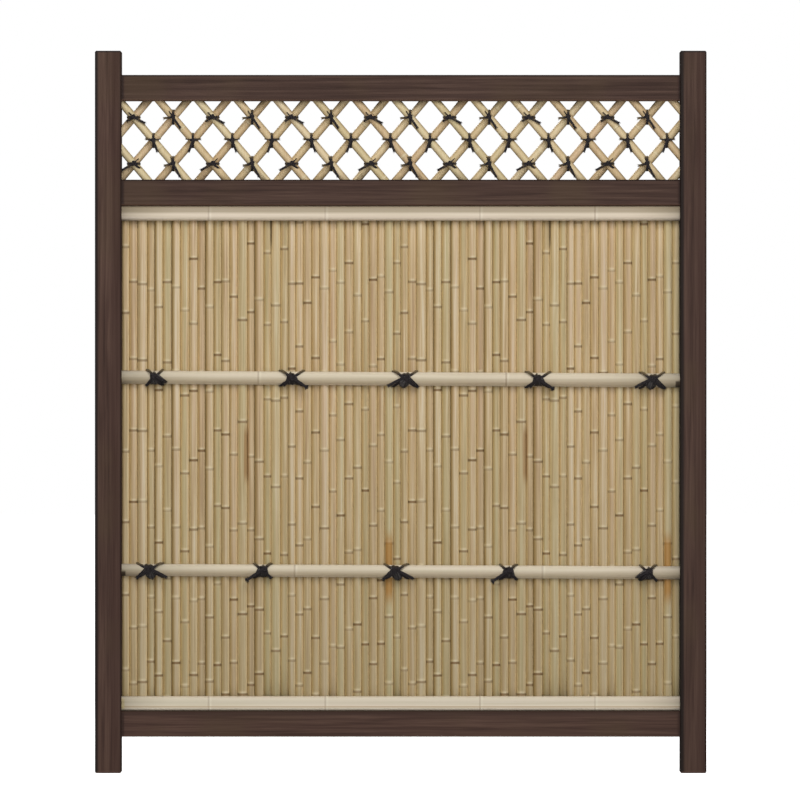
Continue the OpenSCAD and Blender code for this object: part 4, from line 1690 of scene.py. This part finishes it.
@dataclass
class Studio:
    """A plain white floor, soft light from the upper right, and the camera straight in front."""

    lamps: tuple[Lamp, ...] = (
        Lamp("key_light", (0.25, -3.2, 2.95), 2.2, 82.0),
        Lamp("front_fill", (-0.5, -12.5, 1.6), 3.0, 340.0),
        Lamp("rear_light", (-1.21, 3.0, 2.95), 1.6, 90.0),
    )
    target: tuple[float, float, float] = (0.0, 0.0, 0.6)
    lens: float = 600.0
    sensor: float = 36.0
    frame_width: float = 1.3288
    aim: tuple[float, float, float] = (-0.0012, -0.032, 0.6198)

    def build(self) -> None:
        """Sets up the floor, the light and the camera."""
        self.floor()
        self.dome()
        for lamp in self.lamps:
            self.hang(lamp)
        self.camera()

    def floor(self) -> None:
        """Lays the white floor, which glows a little so that it runs into the white behind it."""
        deselect()
        bpy.ops.mesh.primitive_plane_add(size=100.0)
        floor = bpy.context.active_object
        floor.name = "studio_floor"
        edit(floor)
        bpy.ops.mesh.select_all(action="SELECT")
        bpy.ops.mesh.subdivide(number_cuts=3)
        bpy.ops.transform.translate(value=(0, 0, -0.0005))
        leave_edit()
        material, _, shader = new_material("painted_studio_floor_white")
        shader.inputs["Base Color"].default_value = linear("#f7f7f7")
        shader.inputs["Roughness"].default_value = 0.95
        shader.inputs["Specular IOR Level"].default_value = 0.0
        shader.inputs["Emission Color"].default_value = linear("#ffffff")
        shader.inputs["Emission Strength"].default_value = 0.9
        floor.data.materials.append(material)
        floor.visible_diffuse = False
        floor.visible_glossy = False

    def dome(self) -> None:
        """Lights the studio softly, more from above than from below, and shows white behind the panel."""
        world = bpy.data.worlds.new("white_studio")
        bpy.context.scene.world = world
        world.use_nodes = True
        tree = world.node_tree
        tree.nodes.clear()
        rays = lay_node(tree, "ShaderNodeLightPath")
        way = lay_node(tree, "ShaderNodeTexCoord")
        split = lay_node(tree, "ShaderNodeSeparateXYZ", {0: way.outputs["Generated"]})
        power = lay_node(tree, "ShaderNodeMapRange", {0: split.outputs[2], 1: -0.6, 2: 0.6, 3: 0.33, 4: 0.36})
        soft = lay_node(tree, "ShaderNodeBackground", {"Color": (1, 1, 1, 1), "Strength": power.outputs[0]})
        seen = lay_node(tree, "ShaderNodeBackground", {"Color": (1, 1, 1, 1), "Strength": 1.0})
        mixed = lay_node(tree, "ShaderNodeMixShader", {
            0: rays.outputs["Is Camera Ray"], 1: soft.outputs[0], 2: seen.outputs[0],
        })
        lay_node(tree, "ShaderNodeOutputWorld", {0: mixed.outputs[0]})
        bpy.context.scene.view_settings.view_transform = "Standard"

    def hang(self, lamp: Lamp) -> None:
        """Hangs one soft light, turned to the middle of the panel.

        Args:
            lamp: The light.
        """
        data = bpy.data.lights.new(lamp.name, "AREA")
        data.energy = lamp.power
        data.size = lamp.size
        obj = bpy.data.objects.new(lamp.name, data)
        obj.location = lamp.place
        obj.rotation_euler = (Vector(self.target) - Vector(lamp.place)).to_track_quat("-Z", "Y").to_euler()
        obj.visible_camera = False
        bpy.context.scene.collection.objects.link(obj)

    def camera(self) -> None:
        """Places the camera so that the posts' faces are as large as in a straight front view."""
        data = bpy.data.cameras.new("front_camera")
        data.lens = self.lens
        data.sensor_width = self.sensor
        data.clip_end = 120.0
        camera = bpy.data.objects.new("front_camera", data)
        distance = self.frame_width * self.lens / self.sensor
        camera.location = (self.aim[0], self.aim[1] - distance, self.aim[2])
        camera.rotation_euler = (math.radians(90), 0, 0)
        bpy.context.scene.collection.objects.link(camera)
        bpy.context.scene.camera = camera


def main() -> None:
    """Builds the panel's looks and reports each piece."""
    logging.basicConfig(level=logging.INFO, format="%(message)s")
    Studio().build()
    TimberFrame().dress()
    wall = CaneWall()
    wall.build(CulmSection().model())
    battens = SplitBattens(wall)
    battens.build(CulmSection(sides=40).model())
    LatticeCanes().build(CulmSection(sides=16).model())
    rope = PalmRope().build()
    upper, lower = battens.kinds[1], battens.kinds[2]
    plan = (
        (upper, (3, 5), 1, Tie.FANNED), (upper, (19, 22), 1, Tie.TIED), (upper, (33, 36), 1, Tie.HANGING),
        (upper, (49, 52), 1, Tie.TIED), (upper, (63, 66), 1, Tie.HANGING),
        (lower, (2, 5), -1, Tie.HANGING), (lower, (16, 18), -1, Tie.TIED), (lower, (32, 35), -1, Tie.HANGING),
        (lower, (46, 48), -1, Tie.TIED), (lower, (63, 65), -1, Tie.FANNED),
    )
    for number, (kind, seams, side, tie) in enumerate(plan):
        node = f"{kind.name}_lashing_{number % 5 + 1}"
        FenceLashing(node, kind, seams, side, tie, wall, battens.y).build(rope, 20 + number)
    LatticeLashings().build(rope)


if __name__ == "__main__":
    main()
